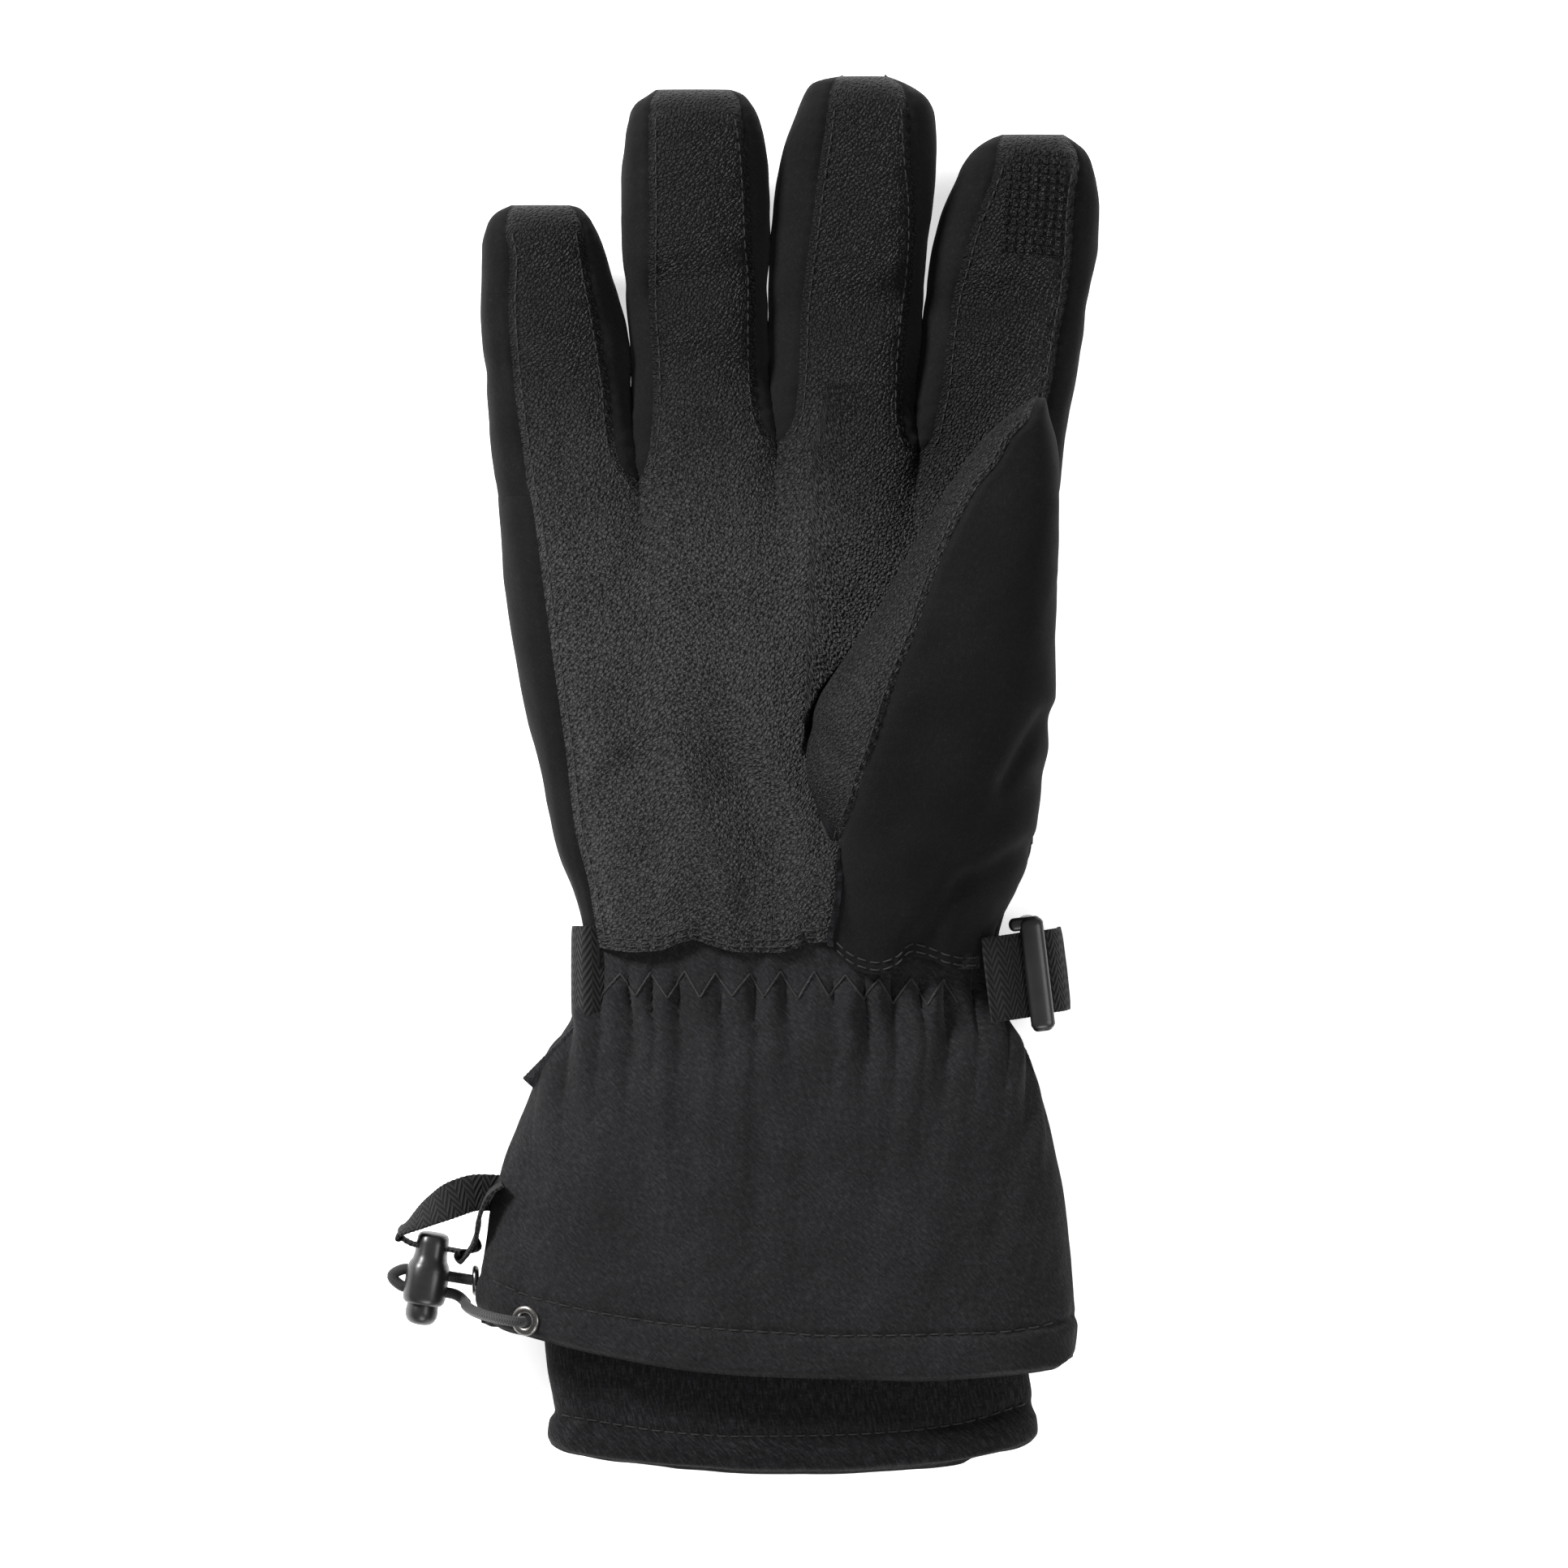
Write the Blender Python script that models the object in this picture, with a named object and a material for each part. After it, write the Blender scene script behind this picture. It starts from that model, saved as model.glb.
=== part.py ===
"""Gauntlet ski glove, right hand, lying on its back with the palm up.

X runs across the hand towards the thumb side, Y runs from the cuff to the
fingertips, Z is up, away from the surface that the glove's back rests on.
All working sizes below are millimetres; meshes are made in metres.
"""
import math

import bmesh
import bpy
import numpy as np
from mathutils import Matrix, Vector

# ---------------------------------------------------------------- dimensions
FRAME_SHIFT = (6.96, -160.2)   # moves the cuff corner datum to the centre of the base
GAP = 0.3                      # clearance between touching pieces
SHELL_T = 1.3                  # leather and softshell thickness
PAD_T = 3.6                    # insulation thickness
LINING_T = 1.0                 # lining thickness
FINGER_BEND = 60.0             # degrees each finger can bend
THUMB_LIFT = 35.0              # degrees the thumb can lift
THUMB_AXIS_Z = 30.0            # the thumb turns about a line near its underside
WEBBING = 19.0                 # strap webbing width
CORD_D = 2.5                   # elastic cord diameter
BUTTON_TRAVEL = 2.0            # cord lock button travel
LOCK_TRAVEL = 5.0              # how far the lock slides on its cord
FLATTEN = 1.2                  # facets closer than this angle become one
P_EXP = 2.4                    # squareness of the soft cross-sections

# station tables: (y, x left, x right, z bottom, z top)
HAND = [(122, -43.5, 50, 2.0, 35), (133, -46.5, 53, .6, 36.5), (152, -51.2, 56, 0, 38),
        (177, -57, 58.5, 0, 37.5), (205, -61.5, 62, 0, 35.5), (222, -63.2, 63.8, 0, 33), (227, -62, 62, 1.5, 30)]
FINGERS = {
    "pinky": dict(rows=[(212, -62, -33.5, 1, 29), (228, -63.5, -32.6, 0, 27.5), (238, -64.4, -33.2, 0, 26.5),
                        (250, -66, -34, 0, 24.5), (263, -67, -35.2, 1.5, 26), (275, -67, -37.7, 4, 28),
                        (284, -66.2, -41, 6.5, 29.5), (289.5, -63.5, -44, 10, 29)], tip=292.2,
                  hinge=(-50.0, 250.0), lean=-3.0, seam=(-60.5, -34.5, -62.0, -45.5)),
    "ring": dict(rows=[(212, -33.5, -1.2, 1, 30), (228, -31.8, -1.3, 0, 28.5), (240, -32.6, -1.5, 0, 27.5),
                       (252, -33.4, -2.2, 0, 26.5), (262, -33.8, -2.4, .5, 25.5), (276, -35, -2.3, 3, 28.5),
                       (290, -35.7, -2.3, 6.5, 31.5), (303, -34.9, -2.9, 10, 33.5), (312, -32.4, -4.8, 14, 33.5)],
                 tip=317.4, hinge=(-17.6, 262.0), lean=0.0, seam=(-29.5, -3.6, -29.0, -7.4)),
    "middle": dict(rows=[(212, -.4, 32.2, 1, 30), (228, .2, 31.9, 0, 29), (240, -.4, 31.7, 0, 28),
                         (254, -1.0, 32.8, 0, 27), (267, -1.3, 33.9, .5, 26), (281, -.4, 34.3, 3.5, 29),
                         (295, .6, 36.2, 6.5, 32), (307, 2.8, 36.7, 10, 34), (315, 5.8, 35.4, 14, 34)],
                   tip=320.4, hinge=(16.3, 267.0), lean=3.0, seam=(3.0, 30.5, 12.6, 32.0)),
    "index": dict(rows=[(212, 33.2, 63, 1, 29), (228, 33.1, 64.6, 0, 28), (240, 32.9, 66.6, 0, 27),
                        (254, 33.8, 68.7, 0, 26), (270, 35.6, 71.6, .5, 25.5), (282, 37, 73.2, 3, 28),
                        (291, 39, 73.7, 5.5, 30), (300, 43.4, 71.8, 9, 31), (304.5, 46, 70, 12.5, 30.5)],
                  tip=307.4, hinge=(53.5, 269.0), lean=8.0, seam=(35.5, 63.5, 50.6, 70.2)),
}
THUMB = dict(rows=[(124, 24, 50, 6, 35), (133.5, 18, 54.5, 8, 43), (143, 14, 58.5, 10, 48), (152, 9.5, 60, 12, 52),
                   (161, 7.2, 61.3, 15, 55.5), (170.5, 7.4, 62, 20, 58), (178, 9.3, 63, 24, 59.5),
                   (189, 16.9, 63.4, 28, 60.5), (200, 24.3, 63.8, 30.5, 61), (211, 30.4, 64.2, 32.5, 61),
                   (222, 36.5, 64.4, 34, 61), (233.5, 44, 64.4, 35.5, 60), (240, 50, 62.8, 38.5, 57)],
             tip=244.6, hinge=(36.0, 176.0), lean=18.0)
GAUNTLET = [(122, -43.5, 50, 2.0, 35), (112, -44.5, 51, 2.0, 34), (104, -45.8, 52.2, 2.0, 34),
            (96, -51, 57, .3, 37), (85, -56.3, 60, 0, 40), (73, -60.6, 63, 0, 42), (59, -64.7, 65.8, 0, 43.5),
            (48, -66.7, 67, 0, 44), (36, -68, 67.8, 0, 44), (24, -68.4, 68.2, 0, 44)]
CUFF = [(121.7, -39, 45.5, 6.5, 30.5), (110, -39.5, 46, 6.5, 30), (90, -44, 51, 5, 32), (60, -49.5, 56, 4.5, 33.5),
        (30, -53, 58.5, 3.8, 34), (11, -52.3, 59.5, 1.4, 33.8), (0, -50, 57.5, .6, 32.5)]
WRIST = [(104, -45.8, 52.2, 2.0, 34), (112, -44.5, 51, 2.0, 34), (122, -43.5, 50, 2.0, 35), (133, -46.5, 53, .8, 36.5)]

COLOURS = {"leather": ((.045, .045, .045, 1), .55), "softshell": ((.012, .012, .012, 1), .85),
           "gauntlet": ((.022, .020, .023, 1), .9), "knit": ((.012, .012, .013, 1), .95),
           "webbing": ((.015, .015, .015, 1), .8), "plastic": ((.02, .02, .02, 1), .35),
           "padding": ((.35, .35, .36, 1), .95), "lining": ((.05, .05, .055, 1), .9),
           "elastic": ((.02, .02, .02, 1), .8), "metal": ((.18, .17, .17, 1), .35), "spring": ((.6, .6, .6, 1), .3)}

# ------------------------------------------------------------------- helpers
for _o in list(bpy.data.objects):
    bpy.data.objects.remove(_o, do_unlink=True)


def material(kind):
    m = bpy.data.materials.get(kind)
    if m is None:
        m = bpy.data.materials.new(kind)
        m.use_nodes = True
        b = m.node_tree.nodes["Principled BSDF"]
        b.inputs["Base Color"].default_value = COLOURS[kind][0]
        b.inputs["Roughness"].default_value = COLOURS[kind][1]
        b.inputs["Metallic"].default_value = 1.0 if kind in ("metal", "spring") else 0.0
    return m


def at(table, y):
    """The station at y, by smooth interpolation between the table's rows."""
    rows = sorted(table)
    ys = [r[0] for r in rows]
    y = min(max(y, ys[0]), ys[-1])
    i = max(0, min(len(ys) - 2, int(np.searchsorted(ys, y, side="right")) - 1))
    t = (y - ys[i]) / (ys[i + 1] - ys[i])
    return [rows[i][k] + (rows[i + 1][k] - rows[i][k]) * t for k in range(1, 5)]


def rim(row, off, angle):
    """A point of the soft oval section: angle 0 is +X and 90 is up; the underside is flat."""
    xl, xr, zb, zt = row
    lift = .05 * (zt - zb)
    cx, cz = (xl + xr) / 2, (zb - lift + zt) / 2
    a, b = (xr - xl) / 2 - off, (zt - zb + lift) / 2 - off
    c, s = math.cos(math.radians(angle)), math.sin(math.radians(angle))
    x = cx + a * math.copysign(abs(c) ** (2 / P_EXP), c)
    z = cz + b * math.copysign(abs(s) ** (2 / P_EXP), s)
    return x, max(z, zb + off)


def new(name, verts, faces, kind):
    bm = bmesh.new()
    vs = [bm.verts.new((v[0] * .001, v[1] * .001, v[2] * .001)) for v in verts]
    for f in faces:
        bm.faces.new([vs[i] for i in f])
    bmesh.ops.triangulate(bm, faces=[f for f in bm.faces if len(f.verts) == 4], quad_method="SHORT_EDGE")
    bmesh.ops.recalc_face_normals(bm, faces=bm.faces)
    if bm.calc_volume(signed=True) < 0:
        bmesh.ops.reverse_faces(bm, faces=bm.faces)
    me = bpy.data.meshes.new(name)
    bm.to_mesh(me)
    bm.free()
    me.materials.append(material(kind))
    ob = bpy.data.objects.new(name, me)
    bpy.context.scene.collection.objects.link(ob)
    return ob


def loft(name, rings, kind="lining"):
    """A closed solid through equal rings, with flat ends."""
    n = len(rings[0])
    verts = [p for r in rings for p in r]
    faces = [(k * n + i, k * n + (i + 1) % n, (k + 1) * n + (i + 1) % n, (k + 1) * n + i)
             for k in range(len(rings) - 1) for i in range(n)]
    faces += [tuple(range(n)), tuple(reversed(range((len(rings) - 1) * n, len(rings) * n)))]
    return new(name, verts, faces, kind)


def prism(name, pts, lo, hi, kind="lining", axis=2, frame=None):
    """A straight extrusion of a flat outline from lo to hi along Z (2), Y (1) or X (0)."""
    def put(p, h):
        q = {2: (p[0], p[1], h), 1: (p[0], h, p[1]), 0: (h, p[0], p[1])}[axis]
        return tuple(frame @ Vector(q)) if frame else q
    return loft(name, [[put(p, lo) for p in pts], [put(p, hi) for p in pts]], kind)


def boolean(a, b, op, keep_tool=False):
    """a = a op b, exact; loose crumbs smaller than the main piece are dropped."""
    mod = a.modifiers.new("cut", "BOOLEAN")
    mod.operation, mod.object, mod.solver = op, b, "EXACT"
    bpy.context.view_layer.update()
    dg = bpy.context.evaluated_depsgraph_get()
    me = bpy.data.meshes.new_from_object(a.evaluated_get(dg))
    a.modifiers.clear()
    a.data = me
    if not keep_tool:
        bpy.data.objects.remove(b, do_unlink=True)
    return a


def copy(a, name):
    b = bpy.data.objects.new(name, a.data.copy())
    bpy.context.scene.collection.objects.link(b)
    return b


def finish(ob, name, kind, smooth=40):
    """Keep the main solid, tidy the mesh, name it and give it its material."""
    bm = bmesh.new()
    bm.from_mesh(ob.data)
    bmesh.ops.remove_doubles(bm, verts=bm.verts, dist=2e-7)
    groups, seen = [], set()
    for v in bm.verts:
        if v in seen:
            continue
        stack, grp = [v], []
        seen.add(v)
        while stack:
            w = stack.pop()
            grp.append(w)
            for e in w.link_edges:
                o = e.other_vert(w)
                if o not in seen:
                    seen.add(o)
                    stack.append(o)
        groups.append(grp)

    def bulk(group):
        total, done = 0.0, set()
        for v in group:
            for fc in v.link_faces:
                if fc.index not in done:
                    done.add(fc.index)
                    p = [w.co for w in fc.verts]
                    total += sum(p[0].dot(p[i].cross(p[i + 1])) for i in range(1, len(p) - 1))
        return abs(total)
    bm.faces.index_update()
    groups.sort(key=bulk, reverse=True)
    for g in groups[1:]:
        bmesh.ops.delete(bm, geom=g, context="VERTS")
    if bm.calc_volume(signed=True) < 0:
        bmesh.ops.reverse_faces(bm, faces=bm.faces)
    bmesh.ops.dissolve_limit(bm, angle_limit=math.radians(FLATTEN), verts=bm.verts, edges=bm.edges)
    bmesh.ops.triangulate(bm, faces=bm.faces)
    me = bpy.data.meshes.new(name)
    bm.to_mesh(me)
    bm.free()
    me.materials.append(material(kind))
    me.shade_smooth()
    me.set_sharp_from_angle(angle=math.radians(smooth))
    bpy.data.objects.remove(ob, do_unlink=True)
    out = bpy.data.objects.new(name, me)
    bpy.context.scene.collection.objects.link(out)
    return out


def envelope(rows, off, n, tip=None, ext_lo=0.0, ext_hi=0.0):
    """Solid of the section table, inset by off; a tip closes with a small end ring."""
    rows = sorted(rows)
    ys = [r[0] for r in rows]
    rings = []
    for k, r in enumerate(rows):
        y = r[0]
        if k == 0:
            y -= ext_lo
        if k == len(rows) - 1 and tip is None:
            y += ext_hi
        if tip is not None and k >= len(rows) - 2:
            y -= off * (.5 if k == len(rows) - 2 else .8)
        rings.append([(x, y, z) for x, z in (rim(r[1:], off, 360 * (i + .5) / n) for i in range(n))])
    if tip is not None:
        r = rows[-1]
        w, h = (r[2] - r[1]) * .16, (r[4] - r[3]) * .2
        last = (r[1] + w, r[2] - w, r[3] + h, r[4] - h)
        rings.append([(x, tip - off, z) for x, z in (rim(last, off, 360 * (i + .5) / n) for i in range(n))])
    return loft("env", rings)


def half_space(hinge, lean, z0, ztop, half_angle, side, extra=0.0, under=0.0):
    """Everything beyond (+1) or before (-1) a hinge line, with a V relief above it."""
    d = GAP / 2 - extra
    rise = (ztop - z0) * math.tan(math.radians(half_angle))
    prof = [(d + under, -30), (d, z0), (d + rise, ztop), (260, ztop), (260, -30)]
    a = math.radians(90 - lean)
    along, across = Vector((math.cos(a), math.sin(a), 0)), Vector((math.sin(a), -math.cos(a), 0))
    o = Vector((hinge[0], hinge[1], 0))
    rings = [[tuple(o + along * (side * s) + across * w + Vector((0, 0, z))) for s, z in prof] for w in (-120, 120)]
    return loft("half", rings)


def finger(f, off, side, extra=0.0):
    """A finger's part beyond or before its crease, inset by off."""
    e = envelope(f["rows"], off, 12, tip=f["tip"])
    return boolean(e, half_space(f["hinge"], f["lean"], 16.0, 45.0, FINGER_BEND / 2 + 1.2, side, extra), "INTERSECT")


def thumb(off, side, extra=0.0):
    e = envelope(THUMB["rows"], off, 14, tip=THUMB["tip"])
    return boolean(e, half_space(THUMB["hinge"], THUMB["lean"], THUMB_AXIS_Z, 75.0, THUMB_LIFT / 2 + 1.2, side, extra, 32.0 if side > 0 else 0.0), "INTERSECT")


def outline(pts, d):
    """Offset a closed counter-clockwise outline outwards by d."""
    n, out = len(pts), []
    for i in range(n):
        p, q, r = Vector(pts[i - 1]), Vector(pts[i]), Vector(pts[(i + 1) % n])
        a, b = (q - p).normalized(), (r - q).normalized()
        na, nb = Vector((a.y, -a.x)), Vector((b.y, -b.x))
        m = (na + nb).normalized()
        out.append(tuple(q + m * (d / max(.5, m.dot(na)))))
    return out


# ---------------------------------------------------- hand: layers by offset
L1 = SHELL_T                   # inner face of the outer layer
L2 = L1 + PAD_T                # inner face of the insulation
L3 = L2 + GAP + LINING_T       # inner face of the lining


def hand_body(off, ext=0.0):
    """Palm, finger bases and thumb base as one soft volume, dented under the thumb."""
    h = envelope(HAND, off, 16, ext_lo=ext, ext_hi=-off)
    for f in FINGERS.values():
        boolean(h, finger(f, off, -1, ext), "UNION")
    boolean(h, thumb(off, -1, ext), "UNION")
    return h


def dent(h, off):
    """Room in the hand for the thumb, at rest and lifted: its underside, and the V behind its hinge line."""
    grown = envelope([r for r in THUMB["rows"] if r[0] > 150], -(off + .5), 14, tip=THUMB["tip"])
    rise = (80.0 - THUMB_AXIS_Z) * math.tan(math.radians(THUMB_LIFT / 2 + 1.0))
    prof = [(0.0, -30), (0.0, THUMB_AXIS_Z), (-rise, 80.0), (260, 80.0), (260, -30)]
    a = math.radians(90 - THUMB["lean"])
    forward, across = Vector((math.cos(a), math.sin(a), 0)), Vector((math.sin(a), -math.cos(a), 0))
    o = Vector((THUMB["hinge"][0], THUMB["hinge"][1], 0))
    sweep = loft("sweep", [[tuple(o + forward * s + across * w + Vector((0, 0, z))) for s, z in prof] for w in (-120, 120)])
    return boolean(h, boolean(grown, sweep, "INTERSECT"), "DIFFERENCE")


PALM_LINE = [(-37, 122.3), (-38.2, 133), (-40.5, 148), (-44.5, 170), (-49, 195), (-54, 222), (-57.5, 240)]
thumb_edge = [(11.9, 122.3), (13.7, 137), (13.9, 142.5), (9.7, 150.6), (6.9, 158), (6.9, 168)]
seam_line = [(13.9, 142.5), (15.6, 147.5), (19, 155), (25.2, 171), (30, 186)]
palm_zone = ([(-37, 121.8)] + [(11.9, 121.8)] + thumb_edge + [(8.2, 188.4), (20, 186.9), (30.6, 189), (31.6, 190.6), (64.5, 190.6), (68, 231)]
             + [(-56.2, 231)] + [p for p in reversed(PALM_LINE[:-1])])
tleather_zone = [(14.4, 143.5), (16.1, 147.5), (19.5, 155), (25.7, 171), (28.6, 180.5), (20, 186), (8.9, 187.6), (7.3, 168.3), (7.4, 158.2), (10.2, 151)]
tshell_zone = [(12.6, 121.8), (70, 121.8), (70, 190), (31.6, 190), (26.3, 171), (20.1, 155), (16.7, 147.5), (14.4, 141.8), (14.2, 137)]
side_zone = [(-80, 123.5), (-37.6, 123.5)] + [(x - .6, y) for x, y in PALM_LINE[1:-2]] + [(-52.8, 213.6), (-80, 213.6)]
CROTCHES = {"fourchette_pinky_ring": (-32.2, 226), "fourchette_ring_middle": (-.9, 228), "fourchette_middle_index": (32.6, 226)}

outer = hand_body(0)
dent(outer, 0)
boolean(outer, dent(hand_body(L1, 6), L1), "DIFFERENCE")


def zone(pts, d, lo, hi):
    return prism("zone", outline(pts, d), lo, hi)


def tab_zones(d):
    """Front panels of the finger bases, up to each crease."""
    out = []
    for f in FINGERS.values():
        a, b = f["seam"][0], f["seam"][1]
        out.append(([(a - d, 214), (b + d, 214), (b + d, f["hinge"][1] + 6), (a - d, f["hinge"][1] + 6)], 15 - d))
    return out


def panel(zones, name, kind):
    p = copy(outer, name + "_cut")
    z = None
    for pts, lo, hi in zones:
        q = prism("zone", pts, lo, hi)
        z = q if z is None else boolean(z, q, "UNION")
    boolean(p, z, "INTERSECT")
    return finish(p, name, kind)


palm = [(outline(palm_zone, -.15), 15.15, 90)] + [(pts, lo, 90) for pts, lo in tab_zones(-.15)]
panel(palm, "palm_leather", "leather")
panel([(outline(tleather_zone, -.15), 17.15, 90)], "thumb_base_leather", "leather")
panel([(outline(tshell_zone, -.15), 17.15, 90)], "thumb_base_shell", "softshell")
panel([(outline(side_zone, -.15), 8.15, 90)], "hand_side_gusset", "softshell")
four = {}
for name, (x, y) in CROTCHES.items():
    four[name] = [(x - 2.6, y - 6), (x + 2.6, y - 6), (x + 2.6, y + 16), (x - 2.6, y + 16)]
    panel([(outline(four[name], -.15), 5.15, 14.85)], name, "softshell")
back = outer
cuts = ([(outline(palm_zone, .15), 14.85, 90)] + [(pts, lo, 90) for pts, lo in tab_zones(.15)]
                    + [(outline(tleather_zone, .15), 16.85, 90), (outline(tshell_zone, .15), 16.85, 90),
                       (outline(side_zone, .15), 7.85, 90)]
        + [(outline(p, .15), 4.85, 15.15) for p in four.values()])
for k in (3, 7, 6, 5, 0, 1, 2, 4, 8, 9, 10):
    pts, lo, hi = cuts[k]
    boolean(back, prism("zone", pts, lo, hi), "DIFFERENCE")
finish(back, "hand_back_shell", "softshell")

# the insulation is two sewn layers, one over the palm and one over the back
pad = dent(hand_body(L1 + GAP + 0.2), L1 + GAP + 0.2)
boolean(pad, dent(hand_body(L2, 6), L2), "DIFFERENCE")
sheet = [(-120, 60), (120, 60), (120, 400), (-120, 400)]
finish(boolean(copy(pad, "upper"), prism("z", sheet, 14.0 + GAP / 2, 90), "INTERSECT"), "insulation_palm", "padding")
finish(boolean(pad, prism("z", sheet, -20, 14.0 - GAP / 2), "INTERSECT"), "insulation_back", "padding")

# ------------------------------------------------------------ moving fingers
for fname, f in FINGERS.items():
    skin = finger(f, 0, 1)
    boolean(skin, finger(f, L1, 1, 6), "DIFFERENCE")
    a, b, c, d = f["seam"]
    y0, y1 = f["hinge"][1] - 8, f["tip"] - 4
    base = [(a, y0), (b, y0), (b + (d - b) * .45, y0 + (y1 - y0) * .6), (d, y1), (d, f["tip"] + 6), (c, f["tip"] + 6), (c, y1),
            (a + (c - a) * .45, y0 + (y1 - y0) * .6)]
    front = boolean(copy(skin, "front"), prism("z", outline(base, -.15), 15.15, 90), "INTERSECT")
    finish(front, fname + "_leather", "leather")
    boolean(skin, prism("z", outline(base, .15), 14.85, 90), "DIFFERENCE")
    finish(skin, fname + "_shell", "softshell")
    liner = finger(f, L1 + GAP, 1)
    boolean(liner, finger(f, L3, 1, 6), "DIFFERENCE")
    finish(liner, fname + "_liner", "padding")

skin = thumb(0, 1)
boolean(skin, thumb(L1, 1, 6), "DIFFERENCE")
# the leather takes the thumb's inner side and underside, along the top seam
top_seam = [(26, 170), (27.5, 178), (30.8, 189), (33.5, 200), (37.2, 211), (41.5, 222), (49.5, 233.5), (57, 243), (58, 250)]
lz = [(-10, 150), (20, 150)] + top_seam + [(-10, 250)]
front = boolean(copy(skin, "front"), prism("z", outline(lz, -.15), 10, 90), "INTERSECT")
finish(front, "thumb_leather", "leather")
boolean(skin, prism("z", outline(lz, .15), 10, 90), "DIFFERENCE")
finish(skin, "thumb_shell", "softshell")
liner = thumb(L1 + GAP, 1)
boolean(liner, thumb(L3, 1, 6), "DIFFERENCE")
finish(liner, "thumb_liner", "padding")


# ------------------------------------------------------- gauntlet and cuff
def skew(x, y):
    """The hem rises towards the little-finger side."""
    w = min(1.0, max(0.0, (62 - y) / 26))
    s = max(0.0, (-x - 10) / 58)
    return y + 10 * w * s ** 1.3


def strip(name, kind, table, ys, a0, a1, n, off_out, off_in, bend=False):
    """A curved panel over part of the section, from angle a0 to a1."""
    outer_g, inner_g = [], []
    for y in ys:
        row = at(table, y)
        for g, off in ((outer_g, off_out), (inner_g, off_in)):
            line = []
            for i in range(n):
                x, z = rim(row, off, a0 + (a1 - a0) * i / (n - 1))
                line.append((x, skew(x, y) if bend else y, z))
            g.append(line)
    m = len(ys)
    verts = [p for l in outer_g for p in l] + [p for l in inner_g for p in l]
    o, faces = m * n, []
    for k in range(m - 1):
        for i in range(n - 1):
            q = (k * n + i, k * n + i + 1, (k + 1) * n + i + 1, (k + 1) * n + i)
            faces += [q, tuple(o + j for j in reversed(q))]
        for i in (0, n - 1):
            q = (k * n + i, (k + 1) * n + i, o + (k + 1) * n + i, o + k * n + i)
            faces.append(q if i == 0 else tuple(reversed(q)))
    for i in range(n - 1):
        q = (i, o + i, o + i + 1, i + 1)
        faces.append(q)
        b = (m - 1) * n
        faces.append((b + i, b + i + 1, o + b + i + 1, o + b + i))
    return new(name, verts, faces, kind)


def tube(name, kind, table, ys, n, off_out, off_in, bend=False):
    """A full sleeve, open at both ends."""
    g = []
    for off in (off_out, off_in):
        for y in ys:
            row = at(table, y)
            for i in range(n):
                x, z = rim(row, off, 360 * (i + .5) / n)
                g.append((x, skew(x, y) if bend else y, z))
    m, faces = len(ys), []
    o = m * n
    for k in range(m - 1):
        for i in range(n):
            j = (i + 1) % n
            faces += [(k * n + i, k * n + j, (k + 1) * n + j, (k + 1) * n + i),
                      (o + k * n + i, o + (k + 1) * n + i, o + (k + 1) * n + j, o + k * n + j)]
    for i in range(n):
        j = (i + 1) % n
        faces += [(i, o + i, o + j, j), ((m - 1) * n + i, (m - 1) * n + j, o + (m - 1) * n + j, o + (m - 1) * n + i)]
    return new(name, g, faces, kind)


# the lining is an open sleeve round the heel of the hand; the thumb goes in beyond it
tube("hand_lining", "lining", HAND, [122.4, 133, 152, 160], 16, L2 + .9, L2 + 1.7)
gys = [121.6, 112, 104, 98, 90, 80, 70, 59, 48, 36.3]
strip("gauntlet_front", "gauntlet", GAUNTLET, gys, 1.2, 178.8, 13, 0, 1.2, True)
strip("gauntlet_back", "gauntlet", GAUNTLET, gys, 181.2, 358.8, 13, 0, 1.2, True)
strip("hem_channel_front", "gauntlet", GAUNTLET, [35.9, 30, 24], 1.2, 178.8, 13, 0, 2.8, True)
strip("hem_channel_back", "gauntlet", GAUNTLET, [36, 30, 24], 181.2, 358.8, 13, 0, 2.8, True)
tube("gauntlet_lining", "lining", GAUNTLET, [103.5, 98, 90, 80, 70, 59, 48, 37.0], 20, 2.3, 3.1, True)
strip("wrist_elastic", "elastic", GAUNTLET, [119, 112, 105], 25, 155, 9, 1.5, 2.5)
tube("inner_cuff", "knit", CUFF, [121.6, 105, 90, 70, 50, 30, 11.3], 20, 0, 2.6)
tube("inner_cuff_hem", "knit", CUFF, [11, 5.5, 0], 20, 0, 3.6)

# ------------------------------------------------ wrist strap and its buckle
strip("wrist_strap", "webbing", WRIST, [123.8, 121.6, 112, 104.6], 152, 328, 20, -1.7, -.7)
BUCKLE_AXIS = (59.6, 114.8, 28.5)
BUCKLE_TURN = Matrix.Translation(BUCKLE_AXIS) @ Matrix.Rotation(math.radians(6.9), 4, "Z")


def bar(name, x, z, r, half, n=12):
    """A round bar along the buckle's own Y axis."""
    pts = [(x + r * math.cos(2 * math.pi * i / n), z + r * math.sin(2 * math.pi * i / n)) for i in range(n)]
    return prism(name, pts, -half, half, "plastic", 1, BUCKLE_TURN)


def block(name, lo, hi, kind, frame=None):
    pts = [(lo[0], lo[1]), (hi[0], lo[1]), (hi[0], hi[1]), (lo[0], hi[1])]
    return prism(name, pts, lo[2], hi[2], kind, 2, frame)


frame_ob = bar("f", 0, 0, 1.5, 12.5)
boolean(frame_ob, bar("m", 0, -9.5, 1.5, 12.5), "UNION")
boolean(frame_ob, block("low", (-1.4, -12.5, -21.5), (1.4, 12.5, -18.2), "plastic", BUCKLE_TURN), "UNION")
for s in (-1, 1):
    boolean(frame_ob, block("rail", (-1.7, min(s * 10.2, s * 13.2), -22), (1.7, max(s * 10.2, s * 13.2), 1.9), "plastic", BUCKLE_TURN), "UNION")
finish(frame_ob, "buckle_frame", "plastic")


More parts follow.
